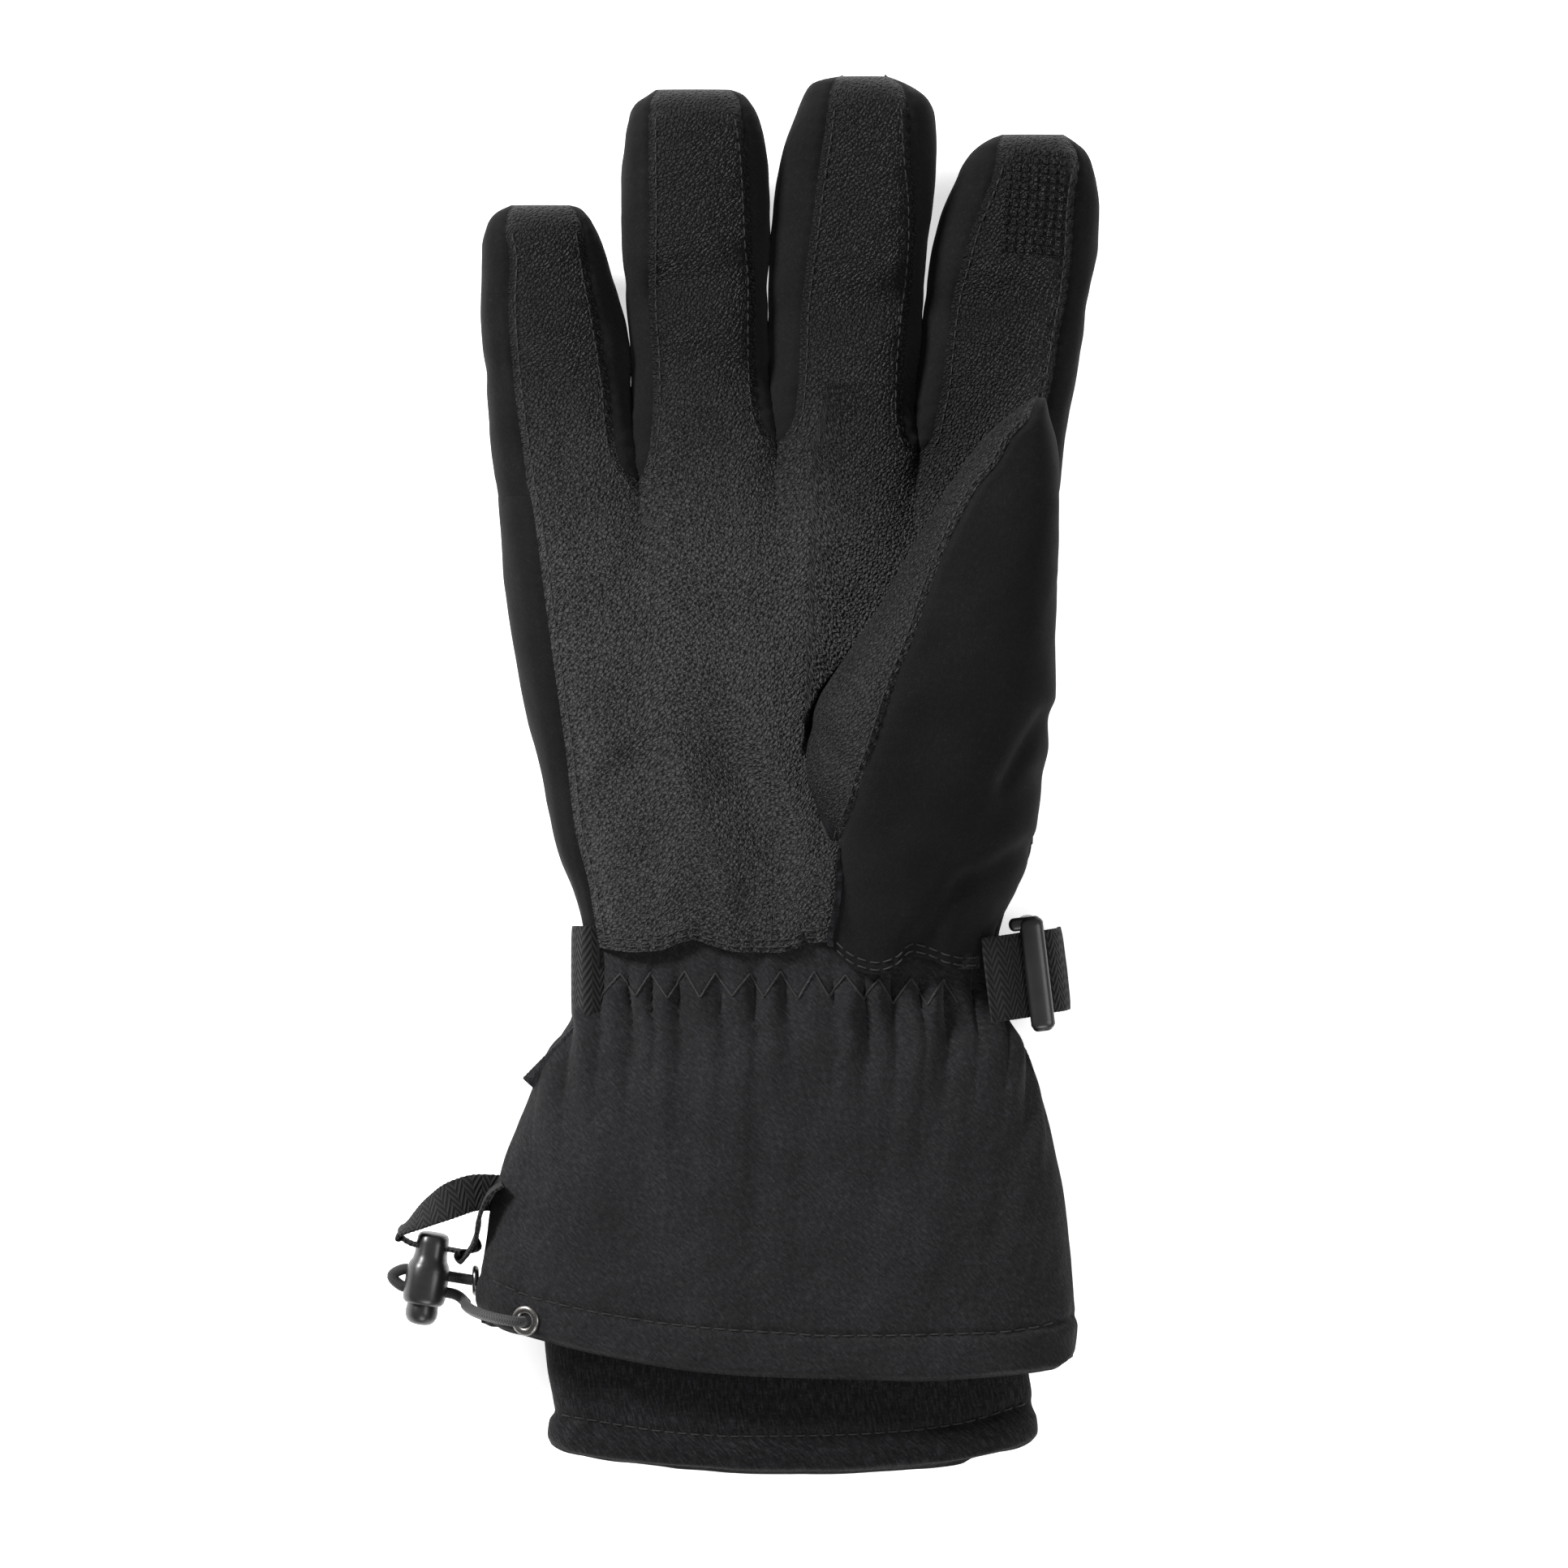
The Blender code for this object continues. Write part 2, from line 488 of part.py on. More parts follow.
def hook(name, kind, x0, z0, r, t, turn0, turn1, tail, half, n=9):
    """Webbing round a bar from angle turn0 to turn1, then straight on through the tail points."""
    inner_p, outer_p = [], []
    for i in range(n):
        a = math.radians(turn0 + (turn1 - turn0) * i / (n - 1))
        inner_p.append(Vector((x0 + r * math.cos(a), z0 + r * math.sin(a))))
        outer_p.append(Vector((x0 + (r + t) * math.cos(a), z0 + (r + t) * math.sin(a))))
    side = 1 if turn1 > turn0 else -1
    prev = (inner_p[-1] + outer_p[-1]) / 2
    for k, q in enumerate(tail):
        q = Vector(q)
        d = (Vector(tail[k + 1]) - prev if k + 1 < len(tail) else q - prev).normalized()
        nrm = Vector((-d.y, d.x)) * side
        inner_p.append(q + nrm * t / 2)
        outer_p.append(q - nrm * t / 2)
        prev = q
    m = len(inner_p)
    rings = []
    for k in range(m):
        rings.append([tuple(BUCKLE_TURN @ Vector((p.x, h, p.y))) for p, h in
                      ((inner_p[k], -half), (outer_p[k], -half), (outer_p[k], half), (inner_p[k], half))])
    return loft(name, rings, kind)


hook("strap_anchor", "webbing", 0, 0, 1.9, 1.1, -100, 118, [(-5.2, 4.4), (-9.0, 5.6)], 9.4)
hook("strap_tail", "webbing", 0, -9.5, 1.9, 1.2, 235, 40, [(4.0, -12.5), (4.6, -18), (5.0, -24.5)], 9.4)

# ------------------------------------------------------------- side label
lab = []
for y in (101, 98.5, 96, 93.5, 91, 88.8):
    lab.append((skew(0, y) * 0 + at(GAUNTLET, y)[0] - .4, y))
outer_lab = [(-57.4, 88.3), (-58.6, 91.2), (-55.4, 94.6), (-52.4, 97.6), (-49.6, 100.4)]
prism("side_label", [(x, y) for x, y in lab] + outer_lab, 20.2, 21.2, "webbing")

# ---------------------------------------- hanging loop, cord lock, elastic cord
LOCK_AT = (-80.1, 44.6, 17.0)
LOCK = Matrix.Translation(LOCK_AT) @ Matrix.Rotation(math.radians(-9.2), 4, "Z")
along = Vector((math.cos(math.radians(-9.2)), math.sin(math.radians(-9.2)), 0))
S_WEB, S_UP, S_LOW = 7.2, 1.05, -2.8


def lock_point(p, s, z=0.0):
    return tuple(LOCK @ Vector((p, s, z)))


def ribbon(name, kind, path, widths, half, t, steps):
    """A flat band along a smooth path; widths are its width directions."""
    n = len(path)
    P, W = [Vector(p) for p in path], [Vector(w).normalized() for w in widths]

    def cr(Q, u):
        k = min(n - 2, int(u))
        f = u - k
        a, b, c, d = Q[max(0, k - 1)], Q[k], Q[k + 1], Q[min(n - 1, k + 2)]
        return .5 * ((2 * b) + (c - a) * f + (2 * a - 5 * b + 4 * c - d) * f * f + (3 * b - a - 3 * c + d) * f ** 3)
    rings = []
    for i in range(steps):
        u = (n - 1) * i / (steps - 1)
        p, w = cr(P, u), cr(W, u)
        q = cr(P, min(n - 1, u + .05)) - cr(P, max(0, u - .05))
        q.normalize()
        w = (w - q * w.dot(q)).normalized()
        m = q.cross(w)
        rings.append([tuple(p + w * (s * half) + m * (r * t / 2)) for s, r in ((-1, -1), (1, -1), (1, 1), (-1, 1))])
    return loft(name, rings, kind)


web_l, web_r = lock_point(-5.5, S_WEB), lock_point(9.5, S_WEB)
loop_path = [(-65.6, 64.2, 22.2), (-68.5, 64.2, 22.4), (-72.4, 63.2, 22.4), (-76.4, 61.6, 22), (-80.4, 59.4, 20.6), (-84, 57.0, 18.8),
             (-86.4, 54.6, 17.2), lock_point(-5.0, S_WEB), lock_point(-1.5, S_WEB), lock_point(2.5, S_WEB), lock_point(7.5, S_WEB),
             (-70.2, 51.2, 18.6), (-68.6, 54.8, 22.6), (-67.6, 59.4, 26.6), (-66.0, 64.4, 28.4), (-64.8, 67.0, 28.4)]
loop_w = [(0, 1, 0), (.1, .99, 0), (.1, .98, -.1), (0, .9, -.4), (-.2, .6, -.8), (-.1, .25, -.96), (0, 0, -1), (0, 0, -1), (0, 0, -1),
          (0, 0, -1), (0, 0, -1), (0, 0, -1), (0, .05, -1), (0, .1, -1), (0, .1, -1), (0, .1, -1)]
ribbon("hang_loop", "webbing", loop_path, loop_w, 4.2, .8, 44)


def stadium(a, b, n=6):
    """Round-ended outline, half width a and half height b (b larger)."""
    pts = []
    for i in range(n):
        t = math.pi * i / (n - 1)
        pts.append((a * math.cos(t), b - a + a * math.sin(t)))
    for i in range(n):
        t = math.pi + math.pi * i / (n - 1)
        pts.append((a * math.cos(t), -(b - a) + a * math.sin(t)))
    return pts


def along_lock(name, stations, kind):
    """Loft of round-ended sections along the lock's length: (s, half width, half height)."""
    return loft(name, [[tuple(LOCK @ Vector((x, s, z))) for x, z in stadium(a, b)] for s, a, b in stations], kind)


body = along_lock("b", [(-6.6, 3.9, 6.4), (-5.8, 4.5, 7), (2.6, 4.5, 7), (4.2, 3.6, 6.6), (9.2, 3.4, 6.2), (10.3, 2.4, 5.2)], "plastic")
boolean(body, along_lock("bore", [(-12, 2.6, 5.2), (6.0, 2.6, 5.2)], "plastic"), "DIFFERENCE")
boolean(body, block("strands", (-9, S_LOW - 1.6, -1.7), (9, S_UP + 1.6, 1.7), "plastic", LOCK), "DIFFERENCE")
boolean(body, block("web", (-9, S_WEB - .8, -4.7), (9, S_WEB + .8, 4.7), "plastic", LOCK), "DIFFERENCE")
finish(body, "cord_lock_body", "plastic")
plunger = along_lock("p", [(-10.6, 2.2, 4.6), (-9.6, 3.3, 5.8), (-8.9, 3.3, 5.8), (-8.8, 2.2, 4.8), (3.4, 2.2, 4.8)], "plastic")
boolean(plunger, block("window", (-9, -6.4, -1.7), (9, 2.5, 1.7), "plastic", LOCK), "DIFFERENCE")
finish(plunger, "cord_lock_button", "plastic")


def cord(name, kind, pts, d, sides):
    cu = bpy.data.curves.new(name, "CURVE")
    cu.dimensions, cu.bevel_depth, cu.bevel_resolution, cu.use_fill_caps = "3D", d * .0005, sides, True
    cu.render_resolution_u = 0
    sp = cu.splines.new("POLY")
    sp.points.add(len(pts) - 1)
    for q, p in zip(sp.points, pts):
        q.co = (p[0] * .001, p[1] * .001, p[2] * .001, 1)
    cu.materials.append(material(kind))
    ob = bpy.data.objects.new(name, cu)
    bpy.context.scene.collection.objects.link(ob)
    return ob


def smooth_path(ctrl, n):
    P = [Vector(p) for p in ctrl]
    m, out = len(P), []
    for i in range(n):
        u = (m - 1) * i / (n - 1)
        k = min(m - 2, int(u))
        f = u - k
        a, b, c, d = P[max(0, k - 1)], P[k], P[k + 1], P[min(m - 1, k + 2)]
        out.append(tuple(.5 * ((2 * b) + (c - a) * f + (2 * a - 5 * b + 4 * c - d) * f * f + (3 * b - a - 3 * c + d) * f ** 3)))
    return out


# the spring sits between the plunger's top and the end of the bore
spring_pts = [tuple(LOCK @ Vector((1.5 * math.cos(2 * math.pi * i / 8), 3.85 + 1.85 * i / 24, 1.5 * math.sin(2 * math.pi * i / 8))))
              for i in range(25)]
cord("cord_lock_spring", "spring", spring_pts, .35, 0)

cord_ctrl = [(-68.9, 43.9, 17.0), lock_point(9.6, S_UP), lock_point(7.0, S_UP), lock_point(2.0, S_UP), lock_point(-2.5, S_UP), lock_point(-5.6, S_UP),
             lock_point(-8.0, -.9), lock_point(-5.6, S_LOW), lock_point(-2.5, S_LOW), lock_point(2.0, S_LOW), lock_point(6.8, S_LOW),
             (-71.4, 39.2, 19.0), (-70.6, 38.4, 25.0), (-67.8, 37.4, 32.0), (-63.4, 36.6, 38.2), (-59.2, 36.1, 40.8), (-57.2, 36.0, 39.4)]
cord("drawcord", "elastic", smooth_path(cord_ctrl, 46), CORD_D, 2)


def ring(name, centre, normal, r_out, r_in, t, n=16):
    q = Vector((0, 0, 1)).rotation_difference(Vector(normal).normalized()).to_matrix().to_4x4()
    f = Matrix.Translation(centre) @ q
    verts, faces = [], []
    for r, z in ((r_out, 0), (r_out - .4, t), (r_in, t), (r_in, 0)):
        verts += [tuple(f @ Vector((r * math.cos(2 * math.pi * i / n), r * math.sin(2 * math.pi * i / n), z))) for i in range(n)]
    for k in range(4):
        for i in range(n):
            j = (i + 1) % n
            faces.append((k * n + i, k * n + j, ((k + 1) % 4) * n + j, ((k + 1) % 4) * n + i))
    return new(name, verts, faces, "metal")


ring("eyelet_back", (-68.9, 43.9, 17.0), (-1, 0, 0), 3.4, 1.8, 1.0)
ring("eyelet_front", (-56.8, 36.0, 37.6), (-.5, 0, .87), 3.4, 1.6, 1.0)

# -------------------------------------------------- place the whole in its frame
JOINTS = {"index_flex": "index", "middle_flex": "middle", "ring_flex": "ring", "pinky_flex": "pinky"}
AXES = {k: (FINGERS[f]["hinge"][0], FINGERS[f]["hinge"][1], 16.0) for k, f in JOINTS.items()}
AXES["thumb_lift"] = (THUMB["hinge"][0], THUMB["hinge"][1], THUMB_AXIS_Z)
AXES["buckle_tilt"] = BUCKLE_AXIS
AXES["strap_tail_flap"] = tuple(BUCKLE_TURN @ Vector((0, 0, -9.5)))
AXES["cord_lock_slide"] = LOCK_AT
AXES["cord_lock_press"] = LOCK_AT
shift = Matrix.Translation((FRAME_SHIFT[0] * .001, FRAME_SHIFT[1] * .001, 0))
for ob in bpy.data.objects:
    ob.data.transform(shift)
ON_AXIS = {"index_flex": ["index_leather", "index_shell", "index_liner"], "middle_flex": ["middle_leather", "middle_shell", "middle_liner"],
           "ring_flex": ["ring_leather", "ring_shell", "ring_liner"], "pinky_flex": ["pinky_leather", "pinky_shell", "pinky_liner"],
           "thumb_lift": ["thumb_leather", "thumb_shell", "thumb_liner"], "buckle_tilt": ["buckle_frame"],
           "strap_tail_flap": ["strap_tail"], "cord_lock_slide": ["cord_lock_body", "cord_lock_spring"], "cord_lock_press": ["cord_lock_button"]}
for joint, names in ON_AXIS.items():
    e = bpy.data.objects.new(joint + "_axis", None)
    bpy.context.scene.collection.objects.link(e)
    x, y, z = AXES[joint]
    e.location = ((x + FRAME_SHIFT[0]) * .001, (y + FRAME_SHIFT[1]) * .001, z * .001)
    for nm in names:
        ob = bpy.data.objects[nm]
        ob.data.transform(Matrix.Translation(-Vector(e.location)))
        ob.parent = e
bpy.context.view_layer.update()
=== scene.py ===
"""Looks of the gauntlet ski glove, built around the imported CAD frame.

Working coordinates are millimetres with the cuff corner as datum: x across towards the thumb, y towards the fingertips, z up.
W() moves them into the row frame.
"""
import math

import bmesh
import bpy
import numpy as np
from mathutils import Matrix, Vector
from mathutils.bvhtree import BVHTree


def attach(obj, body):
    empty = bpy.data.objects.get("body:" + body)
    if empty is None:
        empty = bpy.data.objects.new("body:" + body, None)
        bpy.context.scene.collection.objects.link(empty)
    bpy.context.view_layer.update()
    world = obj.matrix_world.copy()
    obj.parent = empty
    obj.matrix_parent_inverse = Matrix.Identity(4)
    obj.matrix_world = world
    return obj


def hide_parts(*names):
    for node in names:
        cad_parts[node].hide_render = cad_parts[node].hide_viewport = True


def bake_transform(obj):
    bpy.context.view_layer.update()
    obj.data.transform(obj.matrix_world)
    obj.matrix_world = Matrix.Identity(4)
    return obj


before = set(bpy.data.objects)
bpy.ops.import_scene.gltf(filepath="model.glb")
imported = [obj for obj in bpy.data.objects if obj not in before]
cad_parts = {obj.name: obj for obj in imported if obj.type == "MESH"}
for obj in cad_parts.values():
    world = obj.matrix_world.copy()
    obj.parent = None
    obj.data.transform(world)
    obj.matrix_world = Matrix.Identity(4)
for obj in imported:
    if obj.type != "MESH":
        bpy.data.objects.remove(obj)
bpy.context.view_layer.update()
SX, SY = 6.96, -160.2
COL = bpy.context.scene.collection


def W(p):
    a = np.asarray(p, float).reshape(-1, 3)
    return np.stack([(a[:, 0] + SX) * .001, (a[:, 1] + SY) * .001, a[:, 2] * .001], 1)


class Fn:
    """Smooth function through (position, value...) rows, without overshoot."""

    def __init__(s, rows):
        a = np.array(sorted([tuple(map(float, r)) for r in rows]), float)
        s.x, s.y = a[:, 0], a[:, 1:]
        h = np.diff(s.x)
        d = np.diff(s.y, axis=0) / h[:, None]
        m = np.zeros_like(s.y)
        for k in range(1, len(s.x) - 1):
            w1, w2 = 2 * h[k] + h[k - 1], h[k] + 2 * h[k - 1]
            ok = d[k - 1] * d[k] > 0
            dd = np.where(ok, d[k - 1], 1), np.where(ok, d[k], 1)
            m[k] = np.where(ok, (w1 + w2) / (w1 / dd[0] + w2 / dd[1]), 0)
        m[0], m[-1] = d[0], d[-1]
        s.m = m

    def __call__(s, q, col=0):
        q = np.clip(np.asarray(q, float), s.x[0], s.x[-1])
        k = np.clip(np.searchsorted(s.x, q, side="right") - 1, 0, len(s.x) - 2)
        h = s.x[k + 1] - s.x[k]
        t = (q - s.x[k]) / h
        y0, y1, m0, m1 = s.y[k, col], s.y[k + 1, col], s.m[k, col] * h, s.m[k + 1, col] * h
        return (2 * t ** 3 - 3 * t * t + 1) * y0 + (t ** 3 - 2 * t * t + t) * m0 + (3 * t * t - 2 * t ** 3) * y1 + (t ** 3 - t * t) * m1


def across(pts):
    """x as a function of y through (x, y) points."""
    return Fn([(y, x) for x, y in pts])


def sstep(t):
    t = np.clip(t, 0, 1)
    return t * t * (3 - 2 * t)


# smooth seeded value noise, on arrays
_R = np.random.RandomState(7).rand(64, 64, 64)


def noise3(x, y, z):
    out = 0
    xi, yi, zi = np.floor(x).astype(int), np.floor(y).astype(int), np.floor(z).astype(int)
    fx, fy, fz = sstep(x - xi), sstep(y - yi), sstep(z - zi)
    for dx in (0, 1):
        for dy in (0, 1):
            for dz in (0, 1):
                w = (fx if dx else 1 - fx) * (fy if dy else 1 - fy) * (fz if dz else 1 - fz)
                out = out + w * _R[(xi + dx) % 64, (yi + dy) % 64, (zi + dz) % 64]
    return out * 2 - 1


def fbm(x, y, z, s, n=3):
    t, a = 0, 1.0
    for k in range(n):
        t = t + a * noise3(x / s + 11.3 * k, y / s + 5.1 * k, z / s + 3.7 * k)
        a *= .5
        s /= 2.1
    return t


# ------------------------------------------------------------------ materials
def mat(name, rough=.8, metallic=0.0, sheen=0.0, spec=.5, coat=0.0):
    m = bpy.data.materials.new(name)
    m.use_nodes = True
    nt = m.node_tree
    b = nt.nodes["Principled BSDF"]
    b.inputs["Roughness"].default_value = rough
    b.inputs["Metallic"].default_value = metallic
    b.inputs["Sheen Weight"].default_value = sheen
    b.inputs["Sheen Roughness"].default_value = .45
    b.inputs["Specular IOR Level"].default_value = spec
    b.inputs["Coat Weight"].default_value = coat
    return m, nt, b


def node(nt, kind, ins=None, **props):
    n = nt.nodes.new(kind)
    for k, v in props.items():
        setattr(n, k, v)
    for k, v in (ins or {}).items():
        if isinstance(v, bpy.types.NodeSocket):
            nt.links.new(v, n.inputs[k])
        else:
            n.inputs[k].default_value = v
    return n


def math_(nt, op, a, b=None, clamp=False):
    n = nt.nodes.new("ShaderNodeMath")
    n.operation, n.use_clamp = op, clamp
    for i, v in enumerate((a, b)):
        if v is None:
            continue
        if isinstance(v, bpy.types.NodeSocket):
            nt.links.new(v, n.inputs[i])
        else:
            n.inputs[i].default_value = v
    return n.outputs[0]


def uv_mm(nt, rot=0.0, scale=(1, 1, 1)):
    """The surface's own coordinates in millimetres, turned and scaled."""
    uv = node(nt, "ShaderNodeUVMap", uv_map="UVMap")
    mp = node(nt, "ShaderNodeMapping", {"Vector": uv.outputs[0], "Rotation": (0, 0, math.radians(rot))})
    if tuple(scale) != (1, 1, 1):
        mp = node(nt, "ShaderNodeMapping", {"Vector": mp.outputs[0], "Scale": scale})
    return mp.outputs[0]


def ramp(nt, fac, stops):
    n = node(nt, "ShaderNodeValToRGB", {"Fac": fac})
    e = n.color_ramp.elements
    while len(e) < len(stops):
        e.new(.5)
    for k, (p, c) in enumerate(stops):
        e[k].position = p
        e[k].color = (*c, 1) if len(c) == 3 else c
    return n.outputs[0]


def bump(nt, height, strength, dist, normal=None):
    ins = {"Height": height, "Strength": strength, "Distance": dist}
    if normal is not None:
        ins["Normal"] = normal
    return node(nt, "ShaderNodeBump", ins).outputs[0]


def wave(nt, vec, scale, distortion=0.0, detail=0.0):
    return node(nt, "ShaderNodeTexWave", {"Vector": vec, "Scale": scale, "Distortion": distortion, "Detail": detail,
                                          "Detail Scale": 1.5}, wave_type="BANDS", bands_direction="X").outputs["Fac"]


def noise(nt, vec, scale, detail=3.0, rough=.5):
    return node(nt, "ShaderNodeTexNoise", {"Vector": vec, "Scale": scale, "Detail": detail, "Roughness": rough}).outputs["Fac"]


def grey(v, tint=(1, 1, 1)):
    return tuple(v * t for t in tint)


def streak(nt, rot, across, along, detail=2.0):
    """Threads lying in one direction: noise drawn out along it (cycles per millimetre)."""
    return noise(nt, uv_mm(nt, rot, (across, along, 1)), 1.0, detail, .55)


def leather_mat(name, base=.046, dark=.020, shade=True):
    m, nt, b = mat(name, .5, spec=.22)
    uv = uv_mm(nt, 38, (1 / 1.05, 1 / 1.75, 1))
    wob = noise(nt, uv_mm(nt, 0, (.5, .5, .5)), 1.0, 2)
    mixv = node(nt, "ShaderNodeVectorMath", {0: uv, 1: node(nt, "ShaderNodeCombineXYZ", {"X": math_(nt, "MULTIPLY", wob, .6), "Y": math_(nt, "MULTIPLY", wob, .4)}).outputs[0]}, operation="ADD").outputs[0]
    v = node(nt, "ShaderNodeTexVoronoi", {"Vector": mixv, "Scale": 1.0, "Randomness": .8}, feature="F1", voronoi_dimensions="2D")
    pit = node(nt, "ShaderNodeMapRange", {"Value": v.outputs["Distance"], "From Min": .13, "From Max": .38}, interpolation_type="SMOOTHSTEP").outputs[0]
    fine = noise(nt, uv_mm(nt), 2.2, 4, .6)
    cell = node(nt, "ShaderNodeTexVoronoi", {"Vector": uv_mm(nt, 12), "Scale": 1.05, "Randomness": 1.0}, feature="DISTANCE_TO_EDGE", voronoi_dimensions="2D").outputs["Distance"]
    crack = node(nt, "ShaderNodeMapRange", {"Value": cell, "From Min": 0.0, "From Max": .30}, interpolation_type="SMOOTHSTEP").outputs[0]
    big = noise(nt, uv_mm(nt), .07, 3, .55)
    h = math_(nt, "ADD", math_(nt, "MULTIPLY", pit, .7), math_(nt, "ADD", math_(nt, "MULTIPLY", fine, .7), math_(nt, "MULTIPLY", crack, .75)))
    n1 = bump(nt, h, 1.0, .00105)
    nt.links.new(n1, b.inputs["Normal"])
    tone = math_(nt, "ADD", math_(nt, "MULTIPLY", pit, .50), math_(nt, "ADD", math_(nt, "MULTIPLY", big, .24), math_(nt, "ADD", math_(nt, "MULTIPLY", fine, .34), math_(nt, "MULTIPLY", crack, .20))))
    c = ramp(nt, tone, [(.30, grey(dark * .4)), (.66, grey(base * .80)), (1.0, grey(base * 1.95))])
    if shade:
        # painted shade in place of the fall of the light: lighter over the palm, darker towards the fingertips and the
        # wrist
        vy = node(nt, "ShaderNodeSeparateXYZ", {"Vector": uv_mm(nt)}).outputs["Y"]
        k1 = node(nt, "ShaderNodeMapRange", {"Value": vy, "From Min": 205.0, "From Max": 268.0, "To Min": 1.0, "To Max": .15}, interpolation_type="SMOOTHSTEP").outputs[0]
        k2 = node(nt, "ShaderNodeMapRange", {"Value": vy, "From Min": 118.0, "From Max": 185.0, "To Min": .80, "To Max": 1.0}, interpolation_type="SMOOTHSTEP").outputs[0]
        k = node(nt, "ShaderNodeCombineColor", {"Red": math_(nt, "MULTIPLY", k1, k2), "Green": math_(nt, "MULTIPLY", k1, k2), "Blue": math_(nt, "MULTIPLY", k1, k2)}).outputs[0]
        c = node(nt, "ShaderNodeMix", {0: 1.0, 6: c, 7: k}, data_type="RGBA", blend_type="MULTIPLY").outputs[2]
    nt.links.new(c, b.inputs["Base Color"])
    r = node(nt, "ShaderNodeMapRange", {"Value": math_(nt, "ADD", math_(nt, "MULTIPLY", fine, .5), math_(nt, "MULTIPLY", pit, .5)), "From Min": .2, "From Max": .9, "To Min": .68, "To Max": .48}).outputs[0]
    nt.links.new(r, b.inputs["Roughness"])
    return m


def softshell_mat(name, base=.0047):
    m, nt, b = mat(name, .9, sheen=.03, spec=.10)
    w1 = streak(nt, 62, 2.4, .7)
    w2 = streak(nt, -30, 2.6, .6)
    tex = math_(nt, "MULTIPLY", w1, w2)
    fl = noise(nt, uv_mm(nt), 1.9, 3, .7)
    fleck = node(nt, "ShaderNodeMapRange", {"Value": fl, "From Min": .60, "From Max": .74}).outputs[0]
    big = noise(nt, uv_mm(nt), .07, 3)
    tone = math_(nt, "ADD", math_(nt, "MULTIPLY", tex, .9), math_(nt, "ADD", math_(nt, "MULTIPLY", fleck, .30), math_(nt, "MULTIPLY", big, .4)))
    nt.links.new(ramp(nt, tone, [(.15, grey(base * .45)), (.5, grey(base * 1.15)), (1, grey(base * 3.6))]), b.inputs["Base Color"])
    nt.links.new(bump(nt, math_(nt, "ADD", tex, math_(nt, "MULTIPLY", fl, .6)), .6, .00022), b.inputs["Normal"])
    return m


def twill_mat(name, base=.0112):
    m, nt, b = mat(name, .92, sheen=.06, spec=.10)
    w = streak(nt, 48, 2.0, .55)
    w2 = streak(nt, -42, 1.5, .8)
    big = noise(nt, uv_mm(nt), .06, 4)
    fine = noise(nt, uv_mm(nt), 1.8, 3, .65)
    tex = math_(nt, "ADD", math_(nt, "MULTIPLY", w, .75), math_(nt, "MULTIPLY", w2, .25))
    tone = math_(nt, "ADD", math_(nt, "MULTIPLY", tex, .55), math_(nt, "ADD", math_(nt, "MULTIPLY", fine, .3), math_(nt, "MULTIPLY", big, .2)))
    t = (1.0, .965, 1.06)
    nt.links.new(ramp(nt, tone, [(.33, grey(base * .25, t)), (.53, grey(base, t)), (.74, grey(base * 2.6, t))]), b.inputs["Base Color"])
    nt.links.new(bump(nt, math_(nt, "ADD", tex, math_(nt, "MULTIPLY", fine, .5)), .9, .00034), b.inputs["Normal"])
    return m


def knit_mat(name, base=.0068, diag=False):
    m, nt, b = mat(name, .95, sheen=.06, spec=.08)
    w = streak(nt, 42 if diag else 0, 1.9, .35)
    w2 = streak(nt, 90, 1.2, .5)
    fine = noise(nt, uv_mm(nt), 1.9, 3, .6)
    tex = math_(nt, "ADD", math_(nt, "MULTIPLY", w, .75), math_(nt, "MULTIPLY", w2, .25))
    tone = math_(nt, "ADD", math_(nt, "MULTIPLY", tex, .65), math_(nt, "MULTIPLY", fine, .35))
    t = (1.0, .97, 1.09)
    nt.links.new(ramp(nt, tone, [(.33, grey(base * .15, t)), (.5, grey(base, t)), (.70, grey(base * 3.4, t))]), b.inputs["Base Color"])
    nt.links.new(bump(nt, math_(nt, "ADD", tex, math_(nt, "MULTIPLY", fine, .4)), .9, .00036), b.inputs["Normal"])
    return m


def webbing_mat(name, base=.0075):
    m, nt, b = mat(name, .82, sheen=.05, spec=.16)
    up = wave(nt, uv_mm(nt, 28, (1, 1, 1)), .33, .3, .5)
    dn = wave(nt, uv_mm(nt, -28, (1, 1, 1)), .33, .3, .5)
    pick = wave(nt, uv_mm(nt, 0), .085, 0, 0)
    sel = node(nt, "ShaderNodeMapRange", {"Value": pick, "From Min": .45, "From Max": .55}).outputs[0]
    mix = node(nt, "ShaderNodeMix", {0: sel, 2: up, 3: dn}, data_type="FLOAT").outputs[0]
    fine = noise(nt, uv_mm(nt), 4.0, 3, .6)
    tone = math_(nt, "ADD", math_(nt, "MULTIPLY", mix, .65), math_(nt, "MULTIPLY", fine, .4))
    nt.links.new(ramp(nt, tone, [(.2, grey(base * .4)), (.55, grey(base)), (.95, grey(base * 3.0))]), b.inputs["Base Color"])
    nt.links.new(bump(nt, math_(nt, "ADD", mix, math_(nt, "MULTIPLY", fine, .3)), .9, .0003), b.inputs["Normal"])
    return m


def plastic_mat(name, base=.008, rough=.32):
    m, nt, b = mat(name, rough, spec=.5)
    n = noise(nt, uv_mm(nt), 3.0, 3)
    big = noise(nt, uv_mm(nt), .3, 2)
    nt.links.new(ramp(nt, big, [(.3, grey(base * .8)), (.8, grey(base * 1.3))]), b.inputs["Base Color"])
    nt.links.new(bump(nt, n, .12, .00006), b.inputs["Normal"])
    nt.links.new(node(nt, "ShaderNodeMapRange", {"Value": n, "To Min": rough - .06, "To Max": rough + .12}).outputs[0], b.inputs["Roughness"])
    return m


